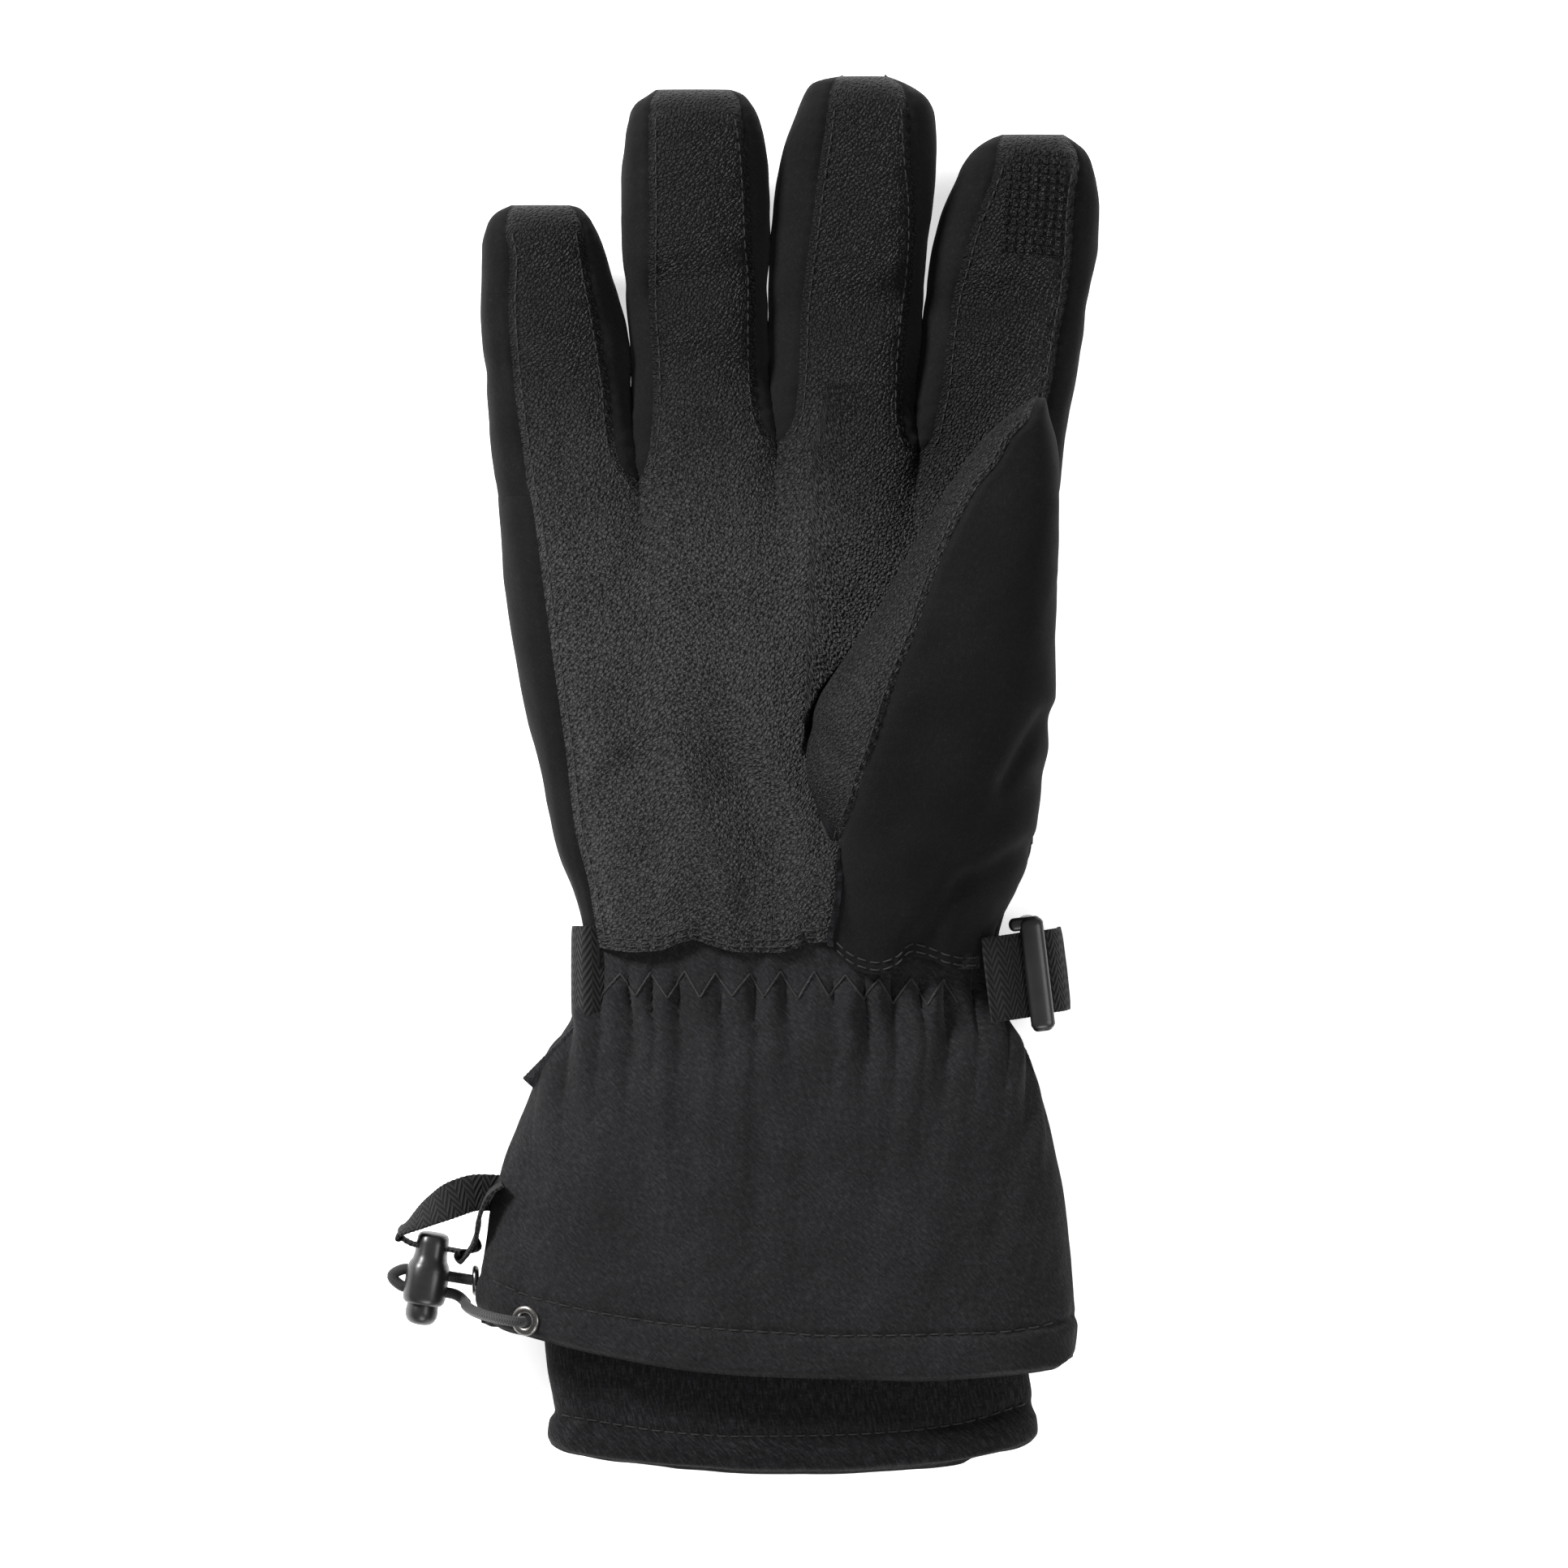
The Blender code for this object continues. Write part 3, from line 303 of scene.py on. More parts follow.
def thread_mat(name, base=.0035):
    m, nt, b = mat(name, .6, sheen=.1, spec=.4)
    w = wave(nt, uv_mm(nt, 35), 1.6, .2, 1)
    nt.links.new(ramp(nt, w, [(.2, grey(base * .5)), (.9, grey(base * 2.2))]), b.inputs["Base Color"])
    nt.links.new(bump(nt, w, .6, .00012), b.inputs["Normal"])
    return m


def metal_mat(name):
    m, nt, b = mat(name, .32, metallic=1.0)
    n = noise(nt, uv_mm(nt), 2.2, 4)
    nt.links.new(ramp(nt, n, [(.3, (.10, .095, .092)), (.75, (.22, .21, .20))]), b.inputs["Base Color"])
    nt.links.new(bump(nt, n, .2, .00008), b.inputs["Normal"])
    return m


M = {
    "leather": leather_mat("palm_leather_embossed", .0235, .0065), "leather_thumb": leather_mat("thumb_leather_embossed", .0110, .0035, False), "soft": softshell_mat("softshell_black"), "twill": twill_mat("gauntlet_twill"),
    "knit": knit_mat("cuff_knit_ribbed"), "band": knit_mat("cuff_band", .0068, True), "web": webbing_mat("webbing_black"),
    "plastic": plastic_mat("plastic_satin_black"), "thread": thread_mat("thread_black"), "thread_grey": thread_mat("thread_dark_grey", .011),
    "metal": metal_mat("eyelet_gunmetal"), "lining": knit_mat("lining_brushed", .010), "elastic": webbing_mat("elastic_braid", .008),
    "label": twill_mat("label_satin", .020), "pad": leather_mat("touch_squares", .0045, .0030, False),
}


# ------------------------------------------------------------------ mesh tools
def make(name, verts, faces, uvs=None, mats=("soft",), fmat=None, smooth=True, normals=None):
    """Mesh object from millimetre vertices; uvs are per vertex, in millimetres."""
    me = bpy.data.meshes.new(name)
    me.from_pydata([tuple(v) for v in W(verts)], [], [tuple(int(i) for i in f) for f in faces])
    if uvs is None:
        uvs = np.asarray(verts, float)[:, :2]
    ul = me.uv_layers.new(name="UVMap")
    li = np.zeros(len(me.loops), np.int32)
    me.loops.foreach_get("vertex_index", li)
    ul.data.foreach_set("uv", np.asarray(uvs, float)[li][:, :2].astype(np.float32).ravel())
    for k in mats:
        me.materials.append(M[k])
    if fmat is not None:
        me.polygons.foreach_set("material_index", np.asarray(fmat, np.int32))
    me.polygons.foreach_set("use_smooth", np.full(len(me.polygons), smooth))
    me.validate()
    me.update()
    if normals is not None:
        me.normals_split_custom_set_from_vertices([tuple(n) for n in normals])
    ob = bpy.data.objects.new(name, me)
    COL.objects.link(ob)
    return ob


def grid_faces(m, n, wrap=False, off=0):
    f = []
    for k in range(m - 1):
        for i in range(n if wrap else n - 1):
            j = (i + 1) % n
            f.append((off + k * n + i, off + k * n + j, off + (k + 1) * n + j, off + (k + 1) * n + i))
    return f


def arc(P):
    """Arc lengths along the second axis of a grid of points."""
    d = np.linalg.norm(np.diff(P, axis=1), axis=2)
    return np.concatenate([np.zeros((P.shape[0], 1)), np.cumsum(d, 1)], 1)


def vertex_normals(V, F):
    F = np.asarray(F)
    a, b, c, d = V[F[:, 0]], V[F[:, 1]], V[F[:, 2]], V[F[:, 3]]
    n = np.cross(c - a, d - b)
    N = np.zeros_like(V)
    for k in range(4):
        np.add.at(N, F[:, k], n)
    return N / np.maximum(np.linalg.norm(N, axis=1, keepdims=True), 1e-12)


def tube_along(pts, r, sides=6, closed=False):
    """Round tube (vertices, faces) along millimetre points; r may vary."""
    P = np.asarray(pts, float)
    n = len(P)
    R = np.broadcast_to(np.asarray(r, float), (n,))
    T = np.gradient(P, axis=0)
    T /= np.maximum(np.linalg.norm(T, axis=1, keepdims=True), 1e-9)
    up = np.array([0, 0, 1.0]) if abs(T[0][2]) < .9 else np.array([1.0, 0, 0])
    V = []
    u = np.cross(T[0], up)
    u /= np.linalg.norm(u)
    for k in range(n):
        u = u - T[k] * u.dot(T[k])
        u /= max(np.linalg.norm(u), 1e-9)
        w = np.cross(T[k], u)
        for i in range(sides):
            t = 2 * math.pi * i / sides
            V.append(P[k] + R[k] * (u * math.cos(t) + w * math.sin(t)))
    F = grid_faces(n, sides, True)
    F += [tuple(reversed(range(sides))), tuple(range((n - 1) * sides, n * sides))]
    return np.array(V), F


def join_parts(parts):
    V, F, o = [], [], 0
    for v, f in parts:
        V.append(v)
        F += [tuple(i + o for i in q) for q in f]
        o += len(v)
    return np.concatenate(V), F


# ------------------------------------------------------------- glove outlines
# hand: (y, x left, x right, z bottom, z top)
HAND = Fn([(112, -43.2, 50, 1.8, 34.4), (118, -43.6, 50, 1.8, 34.8), (122, -44, 50, 1.8, 35), (133, -46.8, 53, .7, 36.2), (142, -49, 55, .2, 37), (152, -51.6, 56, .1, 37.6),
           (164, -54.2, 57, .1, 37.8), (177, -57.0, 58.5, .1, 37.4), (189, -59.0, 60, .1, 36.6), (200.5, -61, 61.5, .1, 35.6), (212, -62.3, 63.5, .1, 34),
           (222, -63.2, 65, .1, 32), (230, -63.9, 65.8, .1, 30), (245, -65.2, 67, .1, 27.5)])
FZ = {  # finger z bottom and top
    "pinky": Fn([(212, .1, 30), (230, .1, 28), (238, .1, 27), (250, .3, 26), (263, 1.5, 26.4), (275, 4, 28), (284, 6.5, 29.5), (292.5, 8.5, 30.5)]),
    "ring": Fn([(212, .1, 30), (230, .1, 28), (240, .1, 27.5), (252, .1, 27), (262, .5, 27), (276, 3, 28.8), (290, 6.5, 31.5), (303, 10, 34), (317.6, 13, 36)]),
    "middle": Fn([(212, .1, 30), (230, .1, 28), (240, .1, 27.8), (254, .1, 27.2), (267, .5, 27.2), (281, 3.5, 29.4), (295, 6.5, 32), (307, 10, 34.5), (320.4, 13, 36.5)]),
    "index": Fn([(212, .1, 30), (230, .1, 28), (240, .1, 27.2), (254, .1, 26.6), (270, .5, 26.4), (282, 3, 28.2), (291, 5.5, 30), (300, 9, 32), (307.6, 11, 33)]),
}
SIL_L = {
    "pinky": across([(-60.7, 291.3), (-63.3, 289.9), (-64.2, 288.8), (-66, 285.5), (-66.8, 281.8), (-67.2, 274.4), (-67.2, 266.9), (-67, 259.5), (-66.2, 250.2),
    (-65.3, 242.8), (-64.6, 236.3), (-63.8, 228.9), (-63.3, 222.4), (-62.5, 215.9), (-61.2, 200.7), (-59, 187.2), (-56.8, 175.7), (-53.4, 162.9),
    (-51.6, 154), (-49.7, 144.5), (-48.6, 140.6), (-45.6, 133), (-43.2, 125.2), (-42.9, 118.5), (-43.6, 112)]),
    "ring": across([(-27.3, 317.4), (-29.1, 316.1), (-31.9, 314.2), (-33.6, 311.5), (-34.9, 304), (-35.6, 296.2), (-35.6, 289.2), (-35.2, 281.8), (-34.7, 272.5),
    (-33.8, 263.2), (-33.4, 253.9), (-33, 244.7), (-32.5, 235.4), (-31.5, 227.6)]),
    "middle": across([(14.7, 320.4), (10.9, 319.6), (8.5, 318.7), (5.6, 314.2), (4.1, 310.5), (1.7, 304), (0.2, 296.6), (-0.7, 288.8), (-1.1, 281.8), (-1.5, 272.5),
    (-1.7, 263.2), (-1.3, 253.9), (-0.7, 244.7), (0.4, 236.5)]),
    "index": across([(52.1, 307.3), (49.5, 306.3), (46.2, 304), (43.2, 300.3), (41.2, 296.2), (38.2, 289.2), (36.2, 281.8), (34.9, 272.5), (33.9, 263.2), (33, 253.9),
    (32.3, 244.7), (32.6, 239.1), (33, 233.9)]),
}
SIL_R = {
    "pinky": across([(-47.3, 291.3), (-45.1, 290.7), (-43.2, 288.8), (-41.4, 285.9), (-39.5, 281.8), (-37.1, 275.3), (-35.1, 267.9), (-34.1, 262.3), (-33.4, 253.9),
    (-32.8, 244.7), (-32.3, 235.4), (-31.5, 227.6)]),
    "ring": across([(-10.2, 317.4), (-7.4, 316.3), (-5.4, 314.1), (-3.9, 311.1), (-2.4, 305.5), (-1.5, 298.5), (-1.3, 289.2), (-1.2, 281.8), (-1.3, 272.5),
    (-1.7, 263.2), (-1.5, 253.9), (-0.9, 244.7), (0, 238.7), (0.4, 236.5)]),
    "middle": across([(25.8, 320.4), (28.8, 319.2), (32.3, 317.4), (35.2, 314.8), (36.5, 311.8), (37.1, 305.9), (36.9, 298.5), (36, 289.9), (34.9, 281.8), (34.5, 272.5),
    (33.8, 263.2), (32.6, 253.9), (31.9, 244.7), (32.5, 239.1), (33, 233.9)]),
    "index": across([(66.2, 307.3), (68.8, 305.5), (71, 302.9), (72.2, 300.3), (73.3, 295.7), (73.8, 289.9), (73.6, 281.8), (72.2, 273.4), (71, 266.9), (69.7, 259.5),
    (68.4, 252.1), (67.2, 244.7), (66, 237.3), (65.3, 230.8), (64.6, 222.4), (63.4, 212), (61.4, 200.5), (59.9, 189), (58.4, 177), (56.9, 164),
    (56, 151.9), (54.9, 141.9), (53.1, 133), (50.3, 122.1), (50.1, 112)]),
}
SEAM_L = {
    "pinky": across([(-59.9, 291.3), (-61.4, 288.8), (-61.8, 284.6), (-60.8, 278.4), (-61.2, 268.8), (-60.5, 256), (-59.5, 246.5), (-57.7, 233.7), (-56.6, 226.1),
    (-55.6, 222.4), (-54.2, 212.8), (-52.5, 200), (-51, 189), (-49, 174.4), (-47.7, 164.9), (-46.7, 155.3), (-45.8, 148.2), (-44.5, 142.6),
    (-42.7, 135.6), (-41.4, 127.8), (-40.1, 120.6), (-39.7, 114.8)]),
    "ring": across([(-26.5, 317.4), (-28.2, 314.8), (-28.9, 309.6), (-28.9, 300.7), (-28.8, 287.9), (-29.1, 275.1), (-28.9, 265.6), (-28.2, 256), (-28, 246.5),
    (-28.6, 236.9), (-29.9, 230.4), (-31.5, 227.6)]),
    "middle": across([(14.7, 320.4), (12.8, 317.4), (12.1, 313.5), (11.3, 307.2), (9.8, 297.5), (8.2, 284.7), (6.9, 275.1), (5.9, 265.6), (5.6, 256), (5, 246.5),
    (4.3, 242.1), (2.4, 238.4), (0.4, 236.5)]),
    "index": across([(52.5, 307.3), (50.8, 304), (50.3, 299.4), (48.2, 293.1), (45.1, 285.5), (42.5, 276.4), (40.6, 268.8), (39.3, 259.1), (38.4, 249.7), (37.1, 243.2),
    (35.6, 236.9), (33, 233.9)]),
}
SEAM_R = {
    "pinky": across([(-48, 291.3), (-45.8, 289.6), (-44.1, 285.1), (-42.7, 276.4), (-40.1, 262.5), (-38.2, 249.7), (-36.9, 236.9), (-35.1, 230.8), (-31.5, 227.6)]),
    "ring": across([(-10.6, 317.4), (-8.3, 314.8), (-7.6, 310.3), (-6.5, 304), (-5.8, 294.4), (-5.2, 281.6), (-4.5, 271.9), (-4.6, 262.5), (-4.3, 249.7),
    (-3.3, 242.1), (-1.7, 238.4), (0.4, 236.5)]),
    "middle": across([(25.8, 320.4), (29.1, 317.4), (30.4, 312.4), (30.8, 305.9), (31.3, 299.4), (32.1, 292), (32.3, 284.7), (31.7, 275.1), (30.4, 263.8), (29.5, 252.8),
    (29.3, 243.2), (30.4, 237.3), (33, 233.9)]),
    "index": across([(65.9, 307.3), (68.6, 304), (69.6, 299.4), (69, 295.1), (68.4, 289.2), (68.1, 281.6), (67.2, 271.9), (65.5, 262.5), (64, 252.8), (62.5, 244.7),
    (61.6, 237.3), (60.8, 229.8), (60.1, 218.7), (58.8, 203.9), (56.9, 189), (55.5, 174.2), (54.4, 159.3), (52.9, 144.5), (51, 131.5), (48.4, 114.8)]),
}
TIP = {"pinky": 291.3, "ring": 317.4, "middle": 320.4, "index": 307.3}
NAMES = ["pinky", "ring", "middle", "index"]
CROTCH = [(-31.5, 227.6), (0.4, 236.5), (33, 233.9)]      # between neighbours, from the little finger
WRIST_DIV = [(-21.7, 114.8), (-0.9, 114.8), (21.3, 114.8)]
HINGE = {"pinky": (-50.0, 250.0, -3.0), "ring": (-17.6, 262.0, 0.0), "middle": (16.3, 267.0, 3.0), "index": (53.5, 269.0, 8.0)}
DIV = [across([c, ((c[0] * 2 + w[0]) / 3, (c[1] * 2 + w[1]) / 3), ((c[0] + 2 * w[0]) / 3, (c[1] + 2 * w[1]) / 3), w]) for c, w in zip(CROTCH, WRIST_DIV)]
THUMB_T = Fn([(112, 12, 50, 3, 33), (118, 11.5, 49.5, 4, 35.5), (124, 11.8, 50.5, 5, 38.5), (133.5, 13.2, 55.2, 7, 43), (143, 13.6, 59, 10, 48), (152, 9.8, 60.4, 12, 52),
              (161, 7.0, 61.6, 15, 55.5), (170.5, 7.6, 62.4, 20, 58), (178, 10, 63.4, 24, 59.6), (189, 17.2, 63.8, 28, 60.6), (200, 24.4, 64.0, 30.5, 61),
              (211, 30.6, 64.4, 32.5, 61), (222, 36.8, 64.5, 34, 60.8), (230, 42.0, 64.4, 35, 60.2), (236, 47.0, 63.6, 36, 59.5), (241, 52.5, 62.2, 37, 59), (245.6, 58.2, 61.2, 38, 58.5)])
THUMB_SEAM = across([(59.4, 246), (58.4, 243.7), (56.9, 240), (53.4, 236.1), (50.3, 230.4), (45.8, 225.2), (41.9, 218.3), (38, 210.5), (35.6, 204.2), (33.4, 197.7),
    (30.8, 190.1), (27.8, 183.1), (25.2, 175.5), (22.8, 167.7), (20.2, 160.8), (18.2, 154.3), (15.6, 147.5), (14.1, 142.3), (13.7, 137.3),
    (13.2, 130.4), (12.1, 122.8), (11.7, 114.8)])


# ------------------------------------------------------------ glove surfaces
P = 2.55


def rootp(v):
    return np.clip(1 - np.clip(v, 0, 1) ** P, 0, 1) ** (1 / P)


YC = [c[1] for c in CROTCH]
XC = [c[0] for c in CROTCH]


def edge_l(f, y):
    i = NAMES.index(f)
    if i == 0:
        return SIL_L[f](y)
    return np.where(y > YC[i - 1], SIL_L[f](y), DIV[i - 1](y))


def edge_r(f, y):
    i = NAMES.index(f)
    if i == 3:
        return SIL_R[f](y)
    return np.where(y > YC[i], SIL_R[f](y), DIV[i](y))


def seam_l(f, y):
    i = NAMES.index(f)
    return SEAM_L[f](y) if i == 0 else np.where(y > YC[i - 1], SEAM_L[f](y), DIV[i - 1](y))


def seam_r(f, y):
    i = NAMES.index(f)
    return SEAM_R[f](y) if i == 3 else np.where(y > YC[i], SEAM_R[f](y), DIV[i](y))


AE_L = Fn([(112, 24), (150, 27), (180, 25), (205, 19), (222, 16), (240, 16.3), (300, 16)])
AE_R = Fn([(112, 22), (150, 26), (180, 26), (205, 22), (222, 19.5), (240, 19), (320, 18)])


def crotch_line(x):
    return np.interp(x, [XC[0], XC[1], XC[2]], YC)


def tip_scale(f, y):
    d = np.clip((TIP[f] - y) / 10.5, 0, 1)
    return np.clip(1 - (1 - d) ** 2.3, 0, 1) ** (1 / 2.3)


CREASE = {"pinky": [(252, 2.2), (276, .9)], "ring": [(254, 1.5), (274, 2.2)], "middle": [(243, .9), (267.5, 1.5)], "index": [(245, .8), (270, 2.0)]}


def creases(f, x, y):
    out = 0
    cx = (edge_l(f, y) + edge_r(f, y)) / 2
    a = np.maximum((edge_r(f, y) - edge_l(f, y)) / 2, 3)
    for k, (yc, d) in enumerate(CREASE[f]):
        lean = HINGE[f][2] * .01745 + .16 * (1 if k else -1)
        s = (y - yc - (x - cx) * lean - 2.4 * noise3(x / 8 + 3 * k, y * 0 + k * 4.4, y * 0 + 1.7)) / 4.4
        part = .35 + .65 * sstep(.5 + .9 * (1 if (k + NAMES.index(f)) % 2 else -1) * (x - cx) / a)
        out = out - .72 * d * part * np.exp(-s * s) + .32 * d * part * (np.exp(-((s - 2.0) / 1.5) ** 2) + np.exp(-((s + 2.0) / 1.5) ** 2))
    return out + .35 * fbm(x, y, x * 0 + 2.2 * NAMES.index(f), 9, 3)


def z_half(f, x, y, side):
    """Height of the palm side (+1) or the back (-1) of the hand and finger f."""
    x, y = np.broadcast_arrays(np.asarray(x, float), np.asarray(y, float))
    L, R = edge_l("pinky", y), edge_r("index", y)
    al, ar = AE_L(y), AE_R(y)
    zb, zt = HAND(y, 2), HAND(y, 3)
    cz, b = (zb + zt) / 2, (zt - zb) / 2
    E = rootp((al - (x - L)) / al) * rootp((ar - (R - x)) / ar)
    u = (x - (L + R) / 2) / ((R - L) / 2)
    zh = cz + side * b * E * (1 - .07 * u * u)
    for i in range(3):
        depth = (3.6 if side > 0 else 2.2) * sstep((y - (YC[i] - 46)) / 44)
        zh = zh - side * depth * np.exp(-((x - DIV[i](y)) / 5.2) ** 2)
    i = NAMES.index(f)
    xl, xr = edge_l(f, y), edge_r(f, y)
    cx, a = (xl + xr) / 2, np.maximum((xr - xl) / 2, .5)
    kl = 1.0 if i == 0 else .80 + .20 * sstep((y - YC[i - 1]) / 20)
    kr = 1.0 if i == 3 else .80 + .20 * sstep((y - YC[i]) / 20)
    uu = (x - cx) / a
    k = np.where(uu < 0, kl, kr)
    fb, ft = FZ[f](y, 0), FZ[f](y, 1)
    cf, bf = (fb + ft) / 2, (ft - fb) / 2 * tip_scale(f, y)
    zf = cf + side * bf * rootp(k * np.abs(uu))
    w = sstep((y - (crotch_line(x) - 24)) / 24)
    z = (1 - w) * zh + w * zf
    return np.maximum(z, .12)


def thumb_under(x, y):
    """Underside of the thumb, where it lies over the palm."""
    xl, xr, zb, zt = (THUMB_T(y, k) for k in range(4))
    u = (x - (xl + xr) / 2) / ((xr - xl) / 2 + .8)
    return (zb + zt) / 2 - (zt - zb) / 2 * rootp(np.abs(u)) + np.where(np.abs(u) >= 1, 60, 0)


ARCH = Fn([(-58.4, 159.3), (-47.3, 161.2), (-39.9, 165.3), (-30.6, 172.3), (-19.5, 176), (-10.2, 171.4), (0.9, 159.7), (8.3, 151.9), (19.5, 146.4)])


def palm_relief(x, y):
    """Soft hollows and ridges of the leather palm."""
    g = lambda cx, cy, sx, sy, a, h, rot=0.0: h * np.exp(-((((x - cx) * math.cos(rot) + (y - cy) * math.sin(rot)) / sx) ** 2
                                                          + ((-(x - cx) * math.sin(rot) + (y - cy) * math.cos(rot)) / sy) ** 2))
    z = g(-20, 158, 4.2, 20, 0, 1.5, .35) + g(-30, 158, 6.5, 20, 0, -1.0, .1) + g(-8, 163, 5.5, 14, 0, -2.2, .45) + g(4, 150, 5.0, 13, 0, 1.3, .5) + g(-12, 140, 6, 14, 0, 1.0, -.1) + g(-27, 176, 11, 5, 0, -1.2, -.3)
    z = z * 1.25
    ay = ARCH(x)
    dy = ay - y
    z = z - 1.9 * sstep(dy / 9) * np.exp(-(np.clip(dy - 5, 0, 99) / 12) ** 2) * sstep((x + 45) / 7) * sstep((8 - x) / 8)
    z = z + .6 * np.exp(-((dy + 3.5) / 7) ** 2) * sstep((x + 45) / 7) * sstep((8 - x) / 8)
    z = z + g(-4, 196, 24, 6, 0, -1.5, .10) + g(-34, 200, 14, 4, 0, -.8, -.25) + g(-44, 150, 3.0, 20, 0, -1.0, .1)
    z = z + .55 * fbm(x, y, x * 0 + 3.3, 17, 3) + .12 * fbm(x, y, x * 0 + 8.3, 3.2, 3)
    low = np.exp(-np.clip(y - 118, 0, 99) / 11)
    return z + low * (.75 * np.sin(x / 2.1 + 1.7 * noise3(x / 7, y / 12, x * 0)) * .6 + .5 * noise3(x / 4.2, y / 14, x * 0 + 2))


def top(f, x, y):
    z = z_half(f, x, y, 1)
    fade = sstep((TIP[f] - y) / 6)
    z = z + creases(f, x, y) * fade
    hand = 1 - sstep((y - (crotch_line(x) - 18)) / 24)
    z = z + palm_relief(x, y) * (.25 + .75 * hand) * fade
    under = thumb_under(x, y) - .5
    k = 1.2
    dz = np.where((y > 163) & (y < 246), np.minimum(0, under - z), 0)
    return np.maximum(z + dz * sstep((y - 163) / 12), 4)


def under_back(x, y, hand_noise=True):
    """Back of the hand, all columns together."""
    x, y = np.broadcast_arrays(np.asarray(x, float), np.asarray(y, float))
    z = np.zeros(x.shape)
    d = [DIV[i](y) for i in range(3)]
    for i, f in enumerate(NAMES):
        sel = np.ones(x.shape, bool)
        if i > 0:
            sel &= x >= d[i - 1]
        if i < 3:
            sel &= x < d[i]
        z[sel] = z_half(f, x[sel], y[sel], -1)
    return z


def resample(px, pz, n):
    d = np.concatenate([[0], np.cumsum(np.hypot(np.diff(px), np.diff(pz)))])
    t = np.linspace(0, d[-1], n)
    return np.interp(t, d, px), np.interp(t, d, pz), t


def seam_dip(d, depth=.6, half=.95):
    return -depth * np.exp(-(d / half) ** 2)


def pucker(s, d, amp=.17, pitch=3.0):
    return amp * np.sin(2 * math.pi * s / pitch + 1.4 * np.sin(s / 7.3)) * np.exp(-np.abs(d) / 3.2)


def weld(V, F, UV, tol=2e-4):
    key = np.round(np.asarray(V) / tol).astype(np.int64)
    _, first, inv = np.unique(key, axis=0, return_index=True, return_inverse=True)
    inv = inv.ravel()
    V2, U2 = np.asarray(V)[first], np.asarray(UV)[first]
    F2 = []
    for f in F:
        g = [inv[i] for i in f]
        h = [g[k] for k in range(len(g)) if g[k] != g[k - 1]]
        if len(set(h)) == len(h) and len(h) >= 3:
            F2.append(tuple(int(q) for q in h))
    return V2, F2, U2


def normals_of(V, F):
    N = np.zeros_like(V)
    q = np.array([f for f in F if len(f) == 4])
    t = np.array([f for f in F if len(f) == 3])
    if len(q):
        n = np.cross(V[q[:, 2]] - V[q[:, 0]], V[q[:, 3]] - V[q[:, 1]])
        for k in range(4):
            np.add.at(N, q[:, k], n)
    if len(t):
        n = np.cross(V[t[:, 1]] - V[t[:, 0]], V[t[:, 2]] - V[t[:, 0]])
        for k in range(3):
            np.add.at(N, t[:, k], n)
    return N / np.maximum(np.linalg.norm(N, axis=1, keepdims=True), 1e-12)


def thicken(V, F, UV, t, hollow=None):
    """Close a sheet into a thin panel of thickness t, inwards."""
    N = normals_of(V, F)
    n = len(V)
    tt = np.broadcast_to(np.asarray(t, float), (n,))
    V2 = np.concatenate([V, V - N * tt[:, None]])
    edges = {}
    for f in F:
        for k in range(len(f)):
            a, b = f[k], f[(k + 1) % len(f)]
            e = (min(a, b), max(a, b))
            edges[e] = None if e in edges else (a, b)
    G = list(F) + [tuple(i + n for i in reversed(f)) for f in F]
    G += [(b, a, a + n, b + n) for v in edges.values() if v for a, b in [v]]
    kind = [0] * len(F) + [1] * len(F) + [0] * (len(G) - 2 * len(F))
    return V2, G, np.concatenate([UV, UV]), kind


def panel(name, V, F, UV, t=1.1, mats=("soft",), sharp=48):
    V, F, UV = weld(V, F, UV)
    c = V.mean(0) - np.array([0, 0, 40.0 if mats[0] == "leather" else 0.0])
    if (normals_of(V, F) * (V - c)).sum() < 0:
        F = [tuple(reversed(f)) for f in F]
    V, F, UV, kind = thicken(V, F, UV, t)
    ob = make(name, V, F, UV, mats, fmat=[k if len(mats) > 1 else 0 for k in kind])
    ob.data.set_sharp_from_angle(angle=math.radians(sharp))
    return ob


def stack(grids):
    """Join grids (points, uvs) into one vertex and face list."""
    V, F, U, o = [], [], [], 0
    for Pg, Ug in grids:
        m, n = Pg.shape[:2]
        V.append(Pg.reshape(-1, 3))
        U.append(Ug.reshape(-1, 2))
        F += grid_faces(m, n, False, o)
        o += m * n
    return np.concatenate(V), F, np.concatenate(U)


PIECES = {}
SPLIT = {f: HINGE[f][1] - 17 for f in NAMES}
PALM_EDGE = Fn([(-47.3, 120.8), (-40.1, 120.6), (-32.8, 119.8), (-26.2, 120.2), (-21.9, 121.9), (-18.4, 122.6), (-15, 121.5), (-7.4, 119.8), (1.1, 119.8),
    (4.6, 120.6), (7.2, 121.9), (11.3, 122.1), (15.8, 122.6), (51, 124.1)])
Y0 = 121.5


